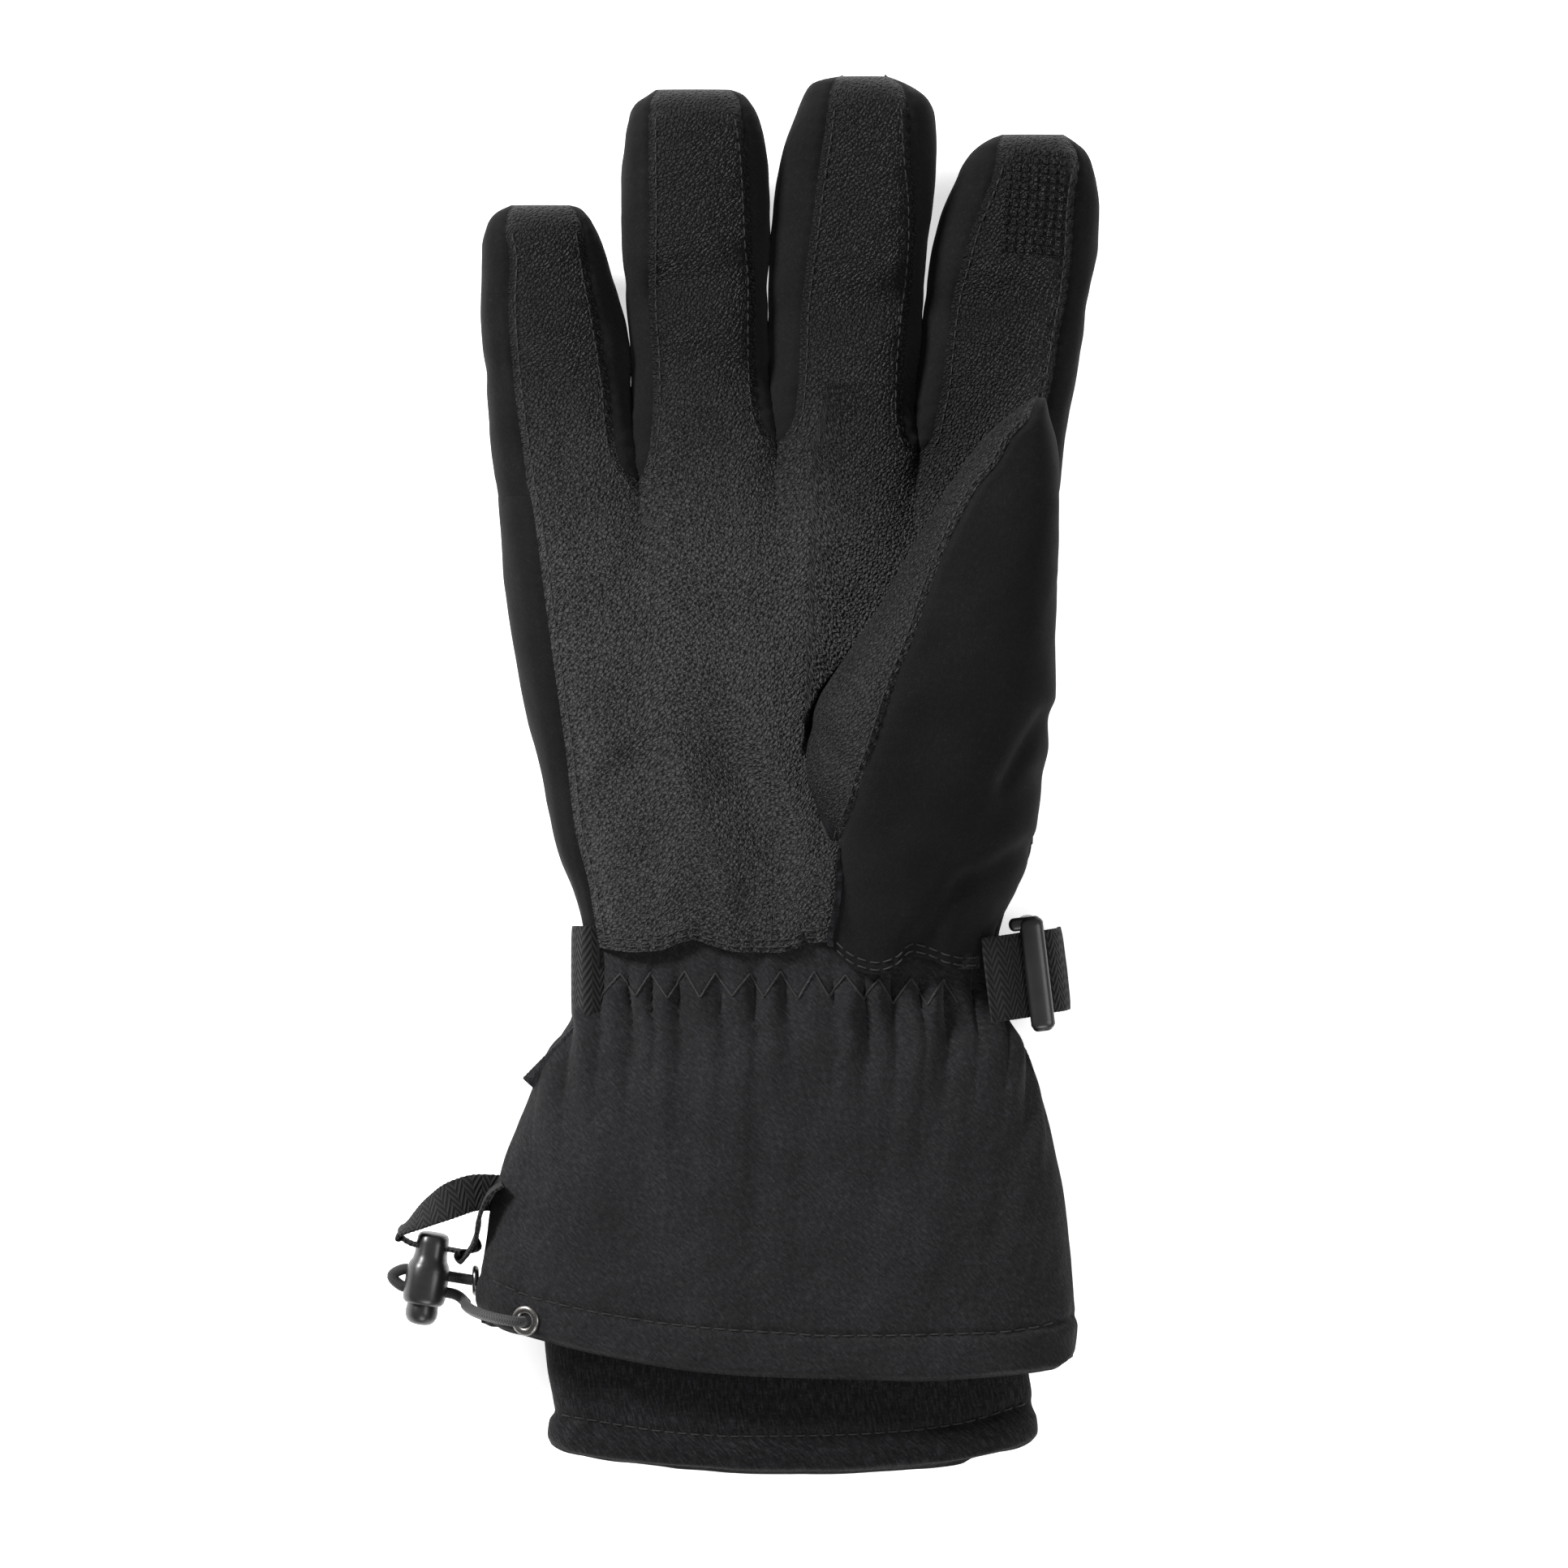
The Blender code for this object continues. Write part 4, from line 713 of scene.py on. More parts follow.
def front_grid(f, ys, n):
    ys = np.asarray(ys, float)
    sl, sr = seam_l(f, ys), seam_r(f, ys)
    t = np.linspace(0, 1, n)[None, :]
    X = sl[:, None] * (1 - t) + sr[:, None] * t
    Y = np.repeat(ys[:, None], n, 1)
    low = sstep(1 - (Y - Y0) / 14)
    Z = top(f, X, Y)
    i = NAMES.index(f)
    dl, dr = X - sl[:, None], sr[:, None] - X
    openl = np.ones_like(ys) if i == 0 else sstep((ys - YC[i - 1] + 5) / 5)
    openr = np.ones_like(ys) if i == 3 else sstep((ys - YC[i] + 5) / 5)
    tipd = sstep((TIP[f] - ys) / 3)[:, None]
    Z = Z + ((seam_dip(dl) + pucker(Y, dl)) * openl[:, None] + (seam_dip(dr) + pucker(Y + 1.3, dr)) * openr[:, None]) * tipd
    Z = Z + seam_dip(Y - Y0, .3, 1.0)
    Y = Y + (PALM_EDGE(X) - Y0) * low
    run = np.concatenate([np.zeros((1, n)), np.cumsum(np.hypot(np.diff(Y, axis=0), np.diff(Z, axis=0)), 0)]) + ys[0]
    return np.stack([X, Y, Z], 2), np.stack([X, run], 2)


def tip_rows(f, y0, step=.9):
    a = np.arange(y0, TIP[f] - 10, step)
    a = np.append(a, TIP[f] - 10)
    return np.concatenate([a, TIP[f] - 10 + 10 * np.sin(np.linspace(0, math.pi / 2, 17)[1:])])


COLS = {"pinky": 44, "ring": 46, "middle": 44, "index": 46}
grids = []
for f in NAMES:
    ys = np.linspace(Y0, SPLIT[f], 165)
    common = np.linspace(Y0, min(YC) - 1, 120)
    ys = np.concatenate([common, np.linspace(min(YC) - 1, SPLIT[f], max(8, int((SPLIT[f] - min(YC)) / .85)))[1:]])
    ys = np.unique(np.concatenate([common, [y for y in YC if y < SPLIT[f]], np.arange(min(YC), 236.5, .9), np.arange(236.5, SPLIT[f], .9), [SPLIT[f]]]))
    ys = ys[ys <= SPLIT[f] + 1e-9]
    grids.append(front_grid(f, ys, COLS[f]))
V, F, U = stack(grids)
PIECES["palm_panel"] = panel("palm_panel", V, F, U, 1.3, ("leather", "lining"))

for f in NAMES:
    V, F, U = stack([front_grid(f, tip_rows(f, SPLIT[f]), COLS[f])])
    PIECES[f + "_front"] = panel(f + "_front", V, F, U, 1.2, ("leather", "lining"))


def wrap_path(f, y, n, seam=True):
    """Section of finger f from its right seam round the back to its left seam."""
    L, R = float(edge_l(f, y)), float(edge_r(f, y))
    sl, sr = float(seam_l(f, y)), float(seam_r(f, y))
    c = (1 - np.cos(np.linspace(0, math.pi, 61))) / 2
    q = np.sin(np.linspace(0, math.pi / 2, 30))
    xa = sr + (R - sr) * q
    xb = R + (L - R) * c
    xc = (sl + (L - sl) * q)[::-1]
    ya = np.full
    za = z_half(f, xa, y, 1)
    zb = z_half(f, xb, y, -1)
    zc = z_half(f, xc, y, 1)
    bulge = np.linspace(0, 1, 9)[1:-1]
    wa = (np.full(7, R) + .0, za[-1] + (zb[0] - za[-1]) * bulge)
    wb = (np.full(7, L) + .0, zb[-1] + (zc[0] - zb[-1]) * bulge)
    px = np.concatenate([xa, wa[0], xb, wb[0], xc])
    pz = np.concatenate([za, wa[1], zb, wb[1], zc])
    return resample(px, pz, n)


def offset_rows(Pg, D):
    """Move a grid's points along its own normals by D."""
    m, n = Pg.shape[:2]
    N = normals_of(Pg.reshape(-1, 3), grid_faces(m, n)).reshape(m, n, 3)
    return Pg + N * D[..., None]


def side_fold(f, y, s, S):
    """Pleats of the side panels near the crotches, and the bend creases round the back."""
    out = 0
    i = NAMES.index(f)
    for yc, d in CREASE[f]:
        out = out - .16 * d * np.exp(-((y - yc - 2.5 * noise3(s / 11, y * 0 + yc, y * 0)) / 3.0) ** 2)
    right = 1.0 if i < 3 else 0.0
    left = 1.0 if i > 0 else 0.0
    yr, yl = YC[min(i, 2)], YC[max(i - 1, 0)]
    near_r = right * np.exp(-s / 9.0) * np.exp(-np.clip(y - yr - 2, 0, 99) / 10.0)
    near_l = left * np.exp(-(S - s) / 9.0) * np.exp(-np.clip(y - yl - 2, 0, 99) / 10.0)
    out = out + (near_r + near_l) * .42 * np.sin(y * 1.25 + 2.4 * noise3(s / 9, y / 14, y * 0 + i))
    return out + .42 * fbm(s, y, s * 0 + i * 3.1, 17, 3)


for f in NAMES:
    n = 96
    ys = tip_rows(f, 214.0, .95)
    G, UVg = np.zeros((len(ys), n, 3)), np.zeros((len(ys), n, 2))
    for k, y in enumerate(ys):
        x, z, s = wrap_path(f, y, n)
        G[k, :, 0], G[k, :, 1], G[k, :, 2] = x, y, z
        UVg[k, :, 0], UVg[k, :, 1] = s - s[-1] / 2, y
    s = UVg[:, :, 0] - UVg[:, :1, 0]
    S = s[:, -1:]
    Yg = G[:, :, 1]
    fade = sstep((TIP[f] - Yg) / 5)
    edge = np.minimum(s, S - s)
    near = sstep(edge / 3.0)
    ledge = top(f, G[:, :, 0], Yg) - z_half(f, G[:, :, 0], Yg, 1)
    on_top = np.exp(-edge / 5.0)
    D = (seam_dip(edge) + pucker(Yg, edge)) * fade + side_fold(f, Yg, s, S) * fade * near + (np.where(s < S / 2, .75 if f == "index" else .15, .75 if f == "pinky" else .15)) * fade * sstep((edge - 1) / 5) * sstep(np.abs(s - S / 2) / 6) - .55 * sstep((231 - Yg) / 8)
    G = offset_rows(G, D)
    G[:, :, 2] += ledge * on_top
    G[:, :, 2] = np.maximum(G[:, :, 2], .15)
    G[:, 0], G[:, -1] = front_grid(f, ys, 2)[0][:, 1], front_grid(f, ys, 2)[0][:, 0]
    i = NAMES.index(f)
    for col, yc, on in ((0, YC[min(i, 2)], i < 3), (-1, YC[max(i - 1, 0)], i > 0)):
        if on:
            # under the crotch the panel's edge turns in below the palm leather
            rows_ = np.arange(n) if col == 0 else np.arange(n)[::-1]
            sink = 2.6 * sstep((yc + .6 - Yg) / 2.4) * np.exp(-(s if col == 0 else S - s) / 6.0)
            G[:, :, 2] -= sink
    V, F, U = stack([(G[:, ::-1], UVg[:, ::-1])])
    PIECES[f + "_sides"] = panel(f + "_sides", V, F, U, 1.0, ("soft", "lining"))

# back of the hand, from the palm's left seam round to its right seam
n = 190
ys = np.unique(np.concatenate([np.arange(116.5, 224.2, 1.0), [224.2]]))
G, UVg = np.zeros((len(ys), n, 3)), np.zeros((len(ys), n, 2))
for k, y in enumerate(ys):
    L, R = float(SIL_L["pinky"](y)), float(SIL_R["index"](y))
    sl, sr = float(SEAM_L["pinky"](y)), float(SEAM_R["index"](y))
    c = (1 - np.cos(np.linspace(0, math.pi, 161))) / 2
    q = np.sin(np.linspace(0, math.pi / 2, 40))
    xa, xb, xc = sr + (R - sr) * q, R + (L - R) * c, (sl + (L - sl) * q)[::-1]
    px = np.concatenate([xa, xb[1:-1], xc])
    pz = np.concatenate([z_half("index", xa, y, 1), under_back(xb, np.full_like(xb, y))[1:-1], z_half("pinky", xc, y, 1)])
    x, z, s = resample(px, pz, n)
    G[k, :, 0], G[k, :, 1], G[k, :, 2] = x, y, z
    UVg[k, :, 0], UVg[k, :, 1] = s - s[-1] / 2, y
s = UVg[:, :, 0] - UVg[:, :1, 0]
S, Yg = s[:, -1:], G[:, :, 1]
edge = np.minimum(s, S - s)
end = np.minimum(Yg - 116.5, 224.2 - Yg)
D = (seam_dip(edge) + pucker(Yg, edge)) + .45 * fbm(s, Yg, s * 0 + 9, 19, 3) * sstep(edge / 4) + seam_dip(Yg - 116.5, .45, 1.0) - .46 * np.exp(-((224.2 - Yg) / 5.0) ** 2)
D = D + .75 * sstep((edge - 1) / 5) + .5 * np.exp(-(Yg - 116.5) / 8) * np.sin(s / 1.7 + 2 * noise3(s / 9, Yg / 9, s * 0)) * sstep(edge / 4)
G = offset_rows(G, D)
for col, f, k, dist in ((-1, "pinky", 0, S - s), (0, "index", 1, s)):
    rim = front_grid(f, np.maximum(ys, Y0), 2)[0][:, k]
    for ax in (0, 2):
        G[:, :, ax] += (rim[:, ax] - G[:, col, ax])[:, None] * np.exp(-dist / 4.0)
G[:, :, 2] = np.maximum(G[:, :, 2], .15)
V, F, U = stack([(G[:, ::-1], UVg[:, ::-1])])
PIECES["hand_back"] = panel("hand_back", V, F, U, 1.2, ("soft", "lining"))


# ------------------------------------------------------------------- thumb
def thumb_z(x, y):
    xl, xr, zb, zt = (THUMB_T(y, k) for k in range(4))
    return (zb + zt) / 2 + (zt - zb) / 2 * rootp(np.abs(x - (xl + xr) / 2) / ((xr - xl) / 2))


THUMB_EDGE = Fn([(8.3, 122.2), (11.3, 121.9), (13.9, 119.3), (18.2, 115.9), (23.4, 114.6), (27.6, 115.9), (31, 118.9), (35.2, 118), (39.5, 116.3), (43.8, 115.6),
    (48, 115.9), (52.9, 118.5)])
TY0 = 116.0
TTIP = 245.6


def thumb_ring(y, n_left, n_right):
    """Section from the top seam: left part to the underside, and right part to the underside."""
    xl, xr, zb, zt = (float(THUMB_T(y, k)) for k in range(4))
    d = min(1.0, max(0.0, (TTIP - y) / 11.0))
    h = (1 - (1 - d) ** 2.3) ** (1 / 2.3)
    cx, a, cz, b = (xl + xr) / 2, (xr - xl) / 2, (zb + zt) / 2, (zt - zb) / 2 * h
    sx = min(max(float(THUMB_SEAM(y)), xl + .4), xr - .4)
    u = (sx - cx) / a
    c0 = math.copysign(abs(u) ** (P / 2), u)
    th = math.acos(max(-1, min(1, c0)))
    out = []
    for t0, t1, n in ((th, math.pi * 1.52, n_left), (th, -math.pi * .48, n_right)):
        t = np.linspace(t0, t1, 160)
        c, s = np.cos(t), np.sin(t)
        px = cx + a * np.sign(c) * np.abs(c) ** (2 / P)
        pz = cz + b * np.sign(s) * np.abs(s) ** (2 / P)
        out.append(resample(px, pz, n))
    return out


ys = np.concatenate([np.arange(TY0, TTIP - 11, .95), TTIP - 11 + 11 * np.sin(np.linspace(0, math.pi / 2, 18))])
NL, NR = 86, 80
GL, GR = np.zeros((len(ys), NL, 3)), np.zeros((len(ys), NR, 3))
UL, UR = np.zeros((len(ys), NL, 2)), np.zeros((len(ys), NR, 2))
for k, y in enumerate(ys):
    (xl_, zl_, sl_), (xr_, zr_, sr_) = thumb_ring(y, NL, NR)
    GL[k], GR[k] = np.stack([xl_, np.full(NL, y), zl_], 1), np.stack([xr_, np.full(NR, y), zr_], 1)
    UL[k], UR[k] = np.stack([-sl_, np.full(NL, y)], 1), np.stack([sr_, np.full(NR, y)], 1)


def hand_top(x, y):
    out = np.zeros(x.shape)
    for i, f in enumerate(NAMES):
        sel = np.ones(x.shape, bool)
        if i > 0:
            sel &= x >= DIV[i - 1](y)
        if i < 3:
            sel &= x < DIV[i](y)
        if sel.any():
            out[sel] = z_half(f, x[sel], y[sel], 1)
    return out


def thumb_finish(Gt, Ut, sign, rev):
    s = np.abs(Ut[:, :, 0])
    Yg, Xg = Gt[:, :, 1], Gt[:, :, 0]
    fade = sstep((TTIP - Yg) / 5)
    D = (seam_dip(s) + pucker(Yg, s)) * fade + .45 * fbm(Xg, Yg, Gt[:, :, 2], 16, 3) * sstep(s / 4) * fade
    # folds of the thumb's root
    r = sstep(s / 6) * sstep((206 - Yg) / 20)
    fold = lambda px, py, qx, qy, w, d: -d * np.exp(-(((Xg - px) * (qy - py) - (Yg - py) * (qx - px)) / math.hypot(qx - px, qy - py) / w) ** 2) * sstep(
        (((Xg - px) * (qx - px) + (Yg - py) * (qy - py)) / math.hypot(qx - px, qy - py) + 4) / 6) * sstep(
        (math.hypot(qx - px, qy - py) + 5 - ((Xg - px) * (qx - px) + (Yg - py) * (qy - py)) / math.hypot(qx - px, qy - py)) / 8)
    top_side = (Gt[:, :, 2] > (THUMB_T(Yg, 2) + THUMB_T(Yg, 3)) / 2 - 6)
    if sign > 0:
        D = D + (fold((61.8, 174.7)[0], (61.8, 174.7)[1], (51.6, 156.4)[0], (51.6, 156.4)[1], 2.2, 1.7) + fold((59.5, 144.5)[0], (59.5, 144.5)[1], (41.7, 133.7)[0], (41.7, 133.7)[1], 2.6, 1.3)
                 + fold((43.6, 137.1)[0], (43.6, 137.1)[1], (31.9, 119.3)[0], (31.9, 119.3)[1], 2.6, 1.1) + fold((61.2, 161.2)[0], (61.2, 161.2)[1], (45.4, 144.5)[0], (45.4, 144.5)[1], 3.4, .8)) * r * top_side
    else:
        D = D + (fold((8.3, 172.3)[0], (8.3, 172.3)[1], (17.6, 159.3)[0], (17.6, 159.3)[1], 2.6, 1.1) + fold((32.5, 209.4)[0], (32.5, 209.4)[1], (39.9, 203.9)[0], (39.9, 203.9)[1], 3.0, .9)) * top_side
    D = D + np.exp(-np.clip(Yg - TY0, 0, 99) / 7) * .45 * np.sin(Xg / 1.5 + 2 * noise3(Xg / 6, Yg / 9, Xg * 0)) * sstep(s / 3)
    if rev:
        Gn = offset_rows(Gt[:, ::-1], D[:, ::-1])[:, ::-1]
    else:
        Gn = offset_rows(Gt, D)
    Gn[:, 0] = Gt[:, 0] + np.array([0, 0, -.75])[None, :] * fade[:, :1]
    # root: the upper part never sinks under the palm's surface
    hz = hand_top(Gn[:, :, 0], Gn[:, :, 1]) + .75
    lim = sstep((172 - Gn[:, :, 1]) / 12)
    if sign < 0:
        lim = lim * np.where(s < 1.2, 1, sstep((Yg - 139) / 8))
    up = (Gt[:, :, 2] > (THUMB_T(Yg, 2) + THUMB_T(Yg, 3)) / 2 - 14) & (Gn[:, :, 0] < 46)
    lift = np.maximum(0, hz - Gn[:, :, 2]) * lim * np.where(up, 1, 0)
    Gn[:, :, 2] += lift
    if sign < 0:
        # below the end of its seam the leather runs in under the palm
        Gn[:, :, 2] -= 4.0 * sstep((150 - Yg) / 9) * sstep((s - .6) / 2.4)
    low = sstep(1 - (Yg - TY0) / 13)
    Gn[:, :, 1] += (THUMB_EDGE(Gn[:, :, 0]) - TY0) * low * np.where(top_side, 1, .0) + 0 * low
    return Gn


GL2, GR2 = thumb_finish(GL, UL, -1, True), thumb_finish(GR, UR, 1, False)
GR2[:, 0] = GL2[:, 0]
UL[:, :, 0] += 0
V, F, U = stack([(GL2[:, ::-1], UL[:, ::-1])])
PIECES["thumb_leather_skin"] = V, F, U
V2, F2, U2 = stack([(GR2, UR)])
PIECES["thumb_leather_skin"] = panel("thumb_leather_skin", V, F, U, 1.2, ("leather_thumb", "lining"))
PIECES["thumb_soft_skin"] = panel("thumb_soft_skin", V2, F2, U2, 1.1, ("soft", "lining"))


# ---------------------------------------------------------------- gauntlet
GL_ = across([(-43.2, 131.5), (-42.9, 122.2), (-43.2, 114.8), (-44.7, 107.4), (-45.6, 103.7), (-51, 96.3), (-54, 89.8), (-56, 84.8), (-58.4, 79.2),
    (-60.5, 73.3), (-62.1, 67.5), (-63.6, 62.9), (-64.6, 59.2), (-65.5, 53.6), (-66.4, 47.7), (-67.3, 43.4), (-67.7, 39.7), (-67, 36.9), (-65.9, 31.3)])
GR_ = across([(50.3, 131.5), (49.5, 122.2), (49.2, 114.8), (50.6, 107.4), (52.1, 103.3), (56.9, 96.3), (58.8, 90.7), (60.3, 84.8), (61.8, 79.2), (63.1, 73.3),
    (64.6, 66.6), (65.7, 59.2), (66.4, 52.7), (67, 47.7), (67.5, 40.6), (67.9, 33.2), (67.5, 27.3), (66.2, 22.1)])
GZ = Fn([(12, 0.3, 44), (24, 0.2, 44), (36, .1, 44), (48, .1, 44), (59, .1, 43.4), (73, .1, 41.8), (85, .1, 39.8), (96, .4, 36.8), (104, 1.6, 33.8), (112, 2.2, 33.4), (118, 2.4, 33.2), (130, 2.6, 33.0)])
HEM_F = Fn([(-68.1, 38.4), (-65.3, 34.7), (-61.2, 33), (-56.6, 32.1), (-54.2, 31.5), (-41.4, 28.6), (-15.8, 24.5), (-3, 23.6), (26.9, 22.6), (31.2, 22.4),
    (54.9, 23.4), (63.4, 24.1), (67.2, 26.5), (68.3, 28.8)])
HEM_B = Fn([(-68.8, 40.6), (-67.3, 36.2), (-65.3, 33.2), (-56.6, 32.3), (-39.9, 28), (-10.2, 23.9), (30.6, 22.4), (64, 24.3), (68.3, 28.8)])
STITCH_F = Fn([(-66.6, 45.8), (-63.6, 44.3), (-54.2, 41), (-36.9, 37.5), (-18.9, 35.1), (-1.1, 33.8), (13.5, 33), (49, 33.4), (64, 35.2), (68.1, 36.5)])
G_SIDE = 1.5


def gauntlet_shape(t, yn):
    """Point of the gauntlet at angle t (0 is +X, 90 up) and nominal height yn."""
    xl, xr = GL_(yn), GR_(yn)
    zb, zt = GZ(yn, 0), GZ(yn, 1)
    cx, a, cz, b = (xl + xr) / 2, (xr - xl) / 2, (zb + zt) / 2, (zt - zb) / 2
    c, s = np.cos(t), np.sin(t)
    pw = 2 / 2.35
    x = cx + a * np.sign(c) * np.abs(c) ** pw
    z = cz + b * np.sign(s) * np.abs(s) ** pw
    return x, z


def gather(x, y, s):
    """Puffs under the wrist elastic, the folds they run into, and the soft waves of the wide part."""
    near = np.exp(-((y - 112.5) / 6.0) ** 2)
    run = np.where(y < 111, np.exp(-np.clip(111 - y, 0, 99) / 13.0), np.exp(-np.clip(y - 111, 0, 99) / 4.3))
    ph = s / 7.4 * math.pi + 1.5 * noise3(s / 13, y / 90, s * 0 + 5) + (s / 90) * np.clip(111 - y, 0, 40) / 60
    puff = np.abs(np.sin(ph)) ** .62
    g = run * (3.0 * puff - 1.5 + .7 * noise3(s / 3.4, y / 16, s * 0))
    fan = s * (1 + np.clip(108 - y, 0, 60) / 190)
    long_ = np.exp(-np.clip(106 - y, 0, 99) / 30.0) * sstep((113 - y) / 8) * 2.3 * noise3(fan / 6.4, y / 60 + 3, s * 0 + 2)
    big = .95 * fbm(s, y, s * 0 + 21, 30, 3) * sstep((108 - y) / 22) + .14 * fbm(s, y, s * 0 + 4, 5.0, 2)
    return g + long_ + big - .8 * near


def gauntlet_side(front, m=150, n=230, inner=False):
    t0, t1 = (0, math.pi) if front else (math.pi, 2 * math.pi)
    hem = HEM_F if front else HEM_B
    th = np.linspace(t0, t1, n)
    q = np.concatenate([np.linspace(0, .86, m - 34), np.linspace(.86, 1, 35)[1:]])
    G = np.zeros((len(q), n, 3))
    Ug = np.zeros((len(q), n, 2))
    yt = 127.0
    for k, v in enumerate(q):
        yn = yt + (np.full(n, 30.0) - yt) * v
        x, _ = gauntlet_shape(th, yn)
        for _i in range(3):
            yn = yt + (hem(x) - yt) * v
            x, z = gauntlet_shape(th, yn)
        G[k] = np.stack([x, yn, z], 1)
    arcs = arc(G)
    Ug[:, :, 0] = arcs - arcs[:, -1:] / 2
    Ug[:, :, 1] = G[:, :, 1]
    return G, Ug, q


g_bvh = []
for front in (True, False):
    G, Ug, q = gauntlet_side(front)
    s = Ug[:, :, 0]
    X, Y = G[:, :, 0], G[:, :, 1]
    edge = np.minimum(arc(G), arc(G)[:, -1:] - arc(G))
    calm = .15 + .85 * sstep(edge / 6)
    D = gather(X, Y, s) * (.35 + .65 * sstep(edge / 7)) + .9 * np.exp(-(edge / 11) ** 2)
    hem_y = (STITCH_F(X))
    hem_e = (HEM_F if front else HEM_B)(X)
    d = Y - hem_y
    D = D - .6 * np.exp(-(d / .9) ** 2) * calm + .2 * np.sin(s / 1.25 + 2 * noise3(s / 7, s * 0, s * 0)) * np.exp(-np.abs(d) / 3.0) * calm
    chan = sstep((hem_y - Y) / 2.5) * sstep((Y - hem_e) / 1.5)
    D = D + (.5 * chan + .45 * noise3(s / 9, Y / 6, s * 0 + 3) * chan) * calm
    roll = sstep(1 - (Y - hem_e) / 2.6)
    D = D - 1.3 * roll ** 2 * calm
    D = D + (seam_dip(edge, .45, 1.4) + (.3 if front else -.1) * np.exp(-((edge - 2.6) / 1.6) ** 2)) * sstep((Y - hem_e) / 4)
    G = offset_rows(G, D)
    G[:, :, 2] = np.maximum(G[:, :, 2], .15)
    V, F, U = stack([(G[:, ::-1], Ug[:, ::-1])])
    nm = "gauntlet_front_panel" if front else "gauntlet_back_panel"
    PIECES[nm] = panel(nm, V, F, U, 1.5, ("twill", "lining"), 60)

# lining: a sleeve inside the gauntlet, deep enough to close the view upwards
th = np.linspace(0, 2 * math.pi, 121)[:-1]
G = []
for yn in np.linspace(34, 122, 40):
    x, z = gauntlet_shape(th, np.full(120, yn))
    cx, cz = x.mean(), z.mean()
    k = 3.4
    x2 = x - np.sign(x - cx) * np.minimum(k, np.abs(x - cx))
    z2 = z + (cz - z) * (k / 20)
    G.append(np.stack([x2, yn + .4 * np.sin(th * 5) + np.clip((-x2 - 10) / 58, 0, 2) ** 1.3 * 8 * np.clip((62 - yn) / 26, 0, 1), z2 + .4 * noise3(x2 / 11, x2 * 0 + yn / 14, z2 / 11)], 1))
G = np.array(G)
Ug = np.stack([np.repeat(np.linspace(0, 320, 120)[None], 40, 0), G[:, :, 1]], 2)
V, F, U = G.reshape(-1, 3), grid_faces(40, 120, True), Ug.reshape(-1, 2)
PIECES["gauntlet_inner"] = panel("gauntlet_inner", V, F, U, .7, ("lining",))

# -------------------------------------------------------------- inner cuff
CL_ = across([(-45.8, 107.4), (-47.3, 90.7), (-49.2, 72.2), (-51.8, 51.8), (-53.4, 31.3), (-52.5, 23.9), (-51.2, 16.9), (-51, 14.3), (-52.1, 11.7), (-52.5, 8.2),
    (-51.8, 5.4), (-49.2, 2.4), (-47.3, 1.3)])
CR_ = across([(45.4, 107.4), (49.9, 90.7), (53.6, 72.2), (56.2, 51.8), (57.5, 31.3), (58.2, 23), (59, 18), (59.2, 15), (60.1, 12.4), (60.5, 8.7), (59.7, 6.1),
    (56.9, 3.5), (53.8, 2.4)])
CZ = Fn([(-2, 3.0, 29.5), (4, 1.0, 32), (11, .8, 33), (15, 1.6, 32.4), (30, 3.6, 33.6), (60, 4.4, 33.4), (90, 5, 31.8), (110, 6.4, 30)])
CUFF_EDGE = Fn([(-52.5, 6.5), (-47.3, 3.7), (-36.2, 2.2), (-21.3, 0.9), (4.6, 0), (36.2, 1.3), (54.7, 4.3), (60.5, 7.2)])
CUFF_LINE = Fn([(-52.5, 14.1), (-49.7, 13.5), (-41.4, 12.4), (-22.3, 10), (-9.5, 9.3), (9.8, 9.5), (31.2, 10.6), (43, 12.1), (57.9, 16), (60.3, 16.5)])


def cuff_ring(v, n, off):
    th = np.linspace(0, 2 * math.pi, n, endpoint=False)
    y = np.full(n, 112.0)
    x = np.zeros(n)
    for _i in range(4):
        xl, xr = CL_(y), CR_(y)
        cx, a = (xl + xr) / 2, (xr - xl) / 2 - off
        c, s = np.cos(th), np.sin(th)
        x = cx + a * np.sign(c) * np.abs(c) ** (2 / 2.3)
        line, edge_ = CUFF_LINE(x), CUFF_EDGE(x)
        y = np.where(v <= .8, 112 + (line - 112) * v / .8, line + (edge_ - line) * (v - .8) / .2)
    zb, zt = CZ(y, 0), CZ(y, 1)
    cz, b = (zb + zt) / 2, (zt - zb) / 2 - off
    z = cz + b * np.sign(s) * np.abs(s) ** (2 / 2.3)
    return np.stack([x, y, z], 1)


n = 260
vs = np.concatenate([np.linspace(0, .78, 60), np.linspace(.78, 1, 40)[1:]])
rings = [cuff_ring(v, n, 0) for v in vs]
G = np.array(rings)
A = arc(np.concatenate([G, G[:, :1]], 1))[:, :-1]
X, Y = G[:, :, 0], G[:, :, 1]
dl = Y - CUFF_LINE(X)
ends = sstep((np.minimum(X - X.min(1, keepdims=True), X.max(1, keepdims=True) - X)) / 7) * .8 + .2
D = (-.9 * np.exp(-(dl / 1.1) ** 2) + .7 * np.exp(-((dl + 4.4) / 3.4) ** 2) * sstep(-dl / 2) + .22 * np.sin(A / 1.6 + 2 * noise3(A / 8, A * 0, A * 0)) * np.exp(-np.abs(dl) / 3.5)) * ends
D = D + .5 * fbm(A, Y, A * 0 + 2, 22, 3) - 1.5 * sstep(1 - (Y - CUFF_EDGE(X)) / 3.0) ** 2 * ends
G = offset_rows(G, D)
G[:, :, 2] = np.maximum(G[:, :, 2], .15)
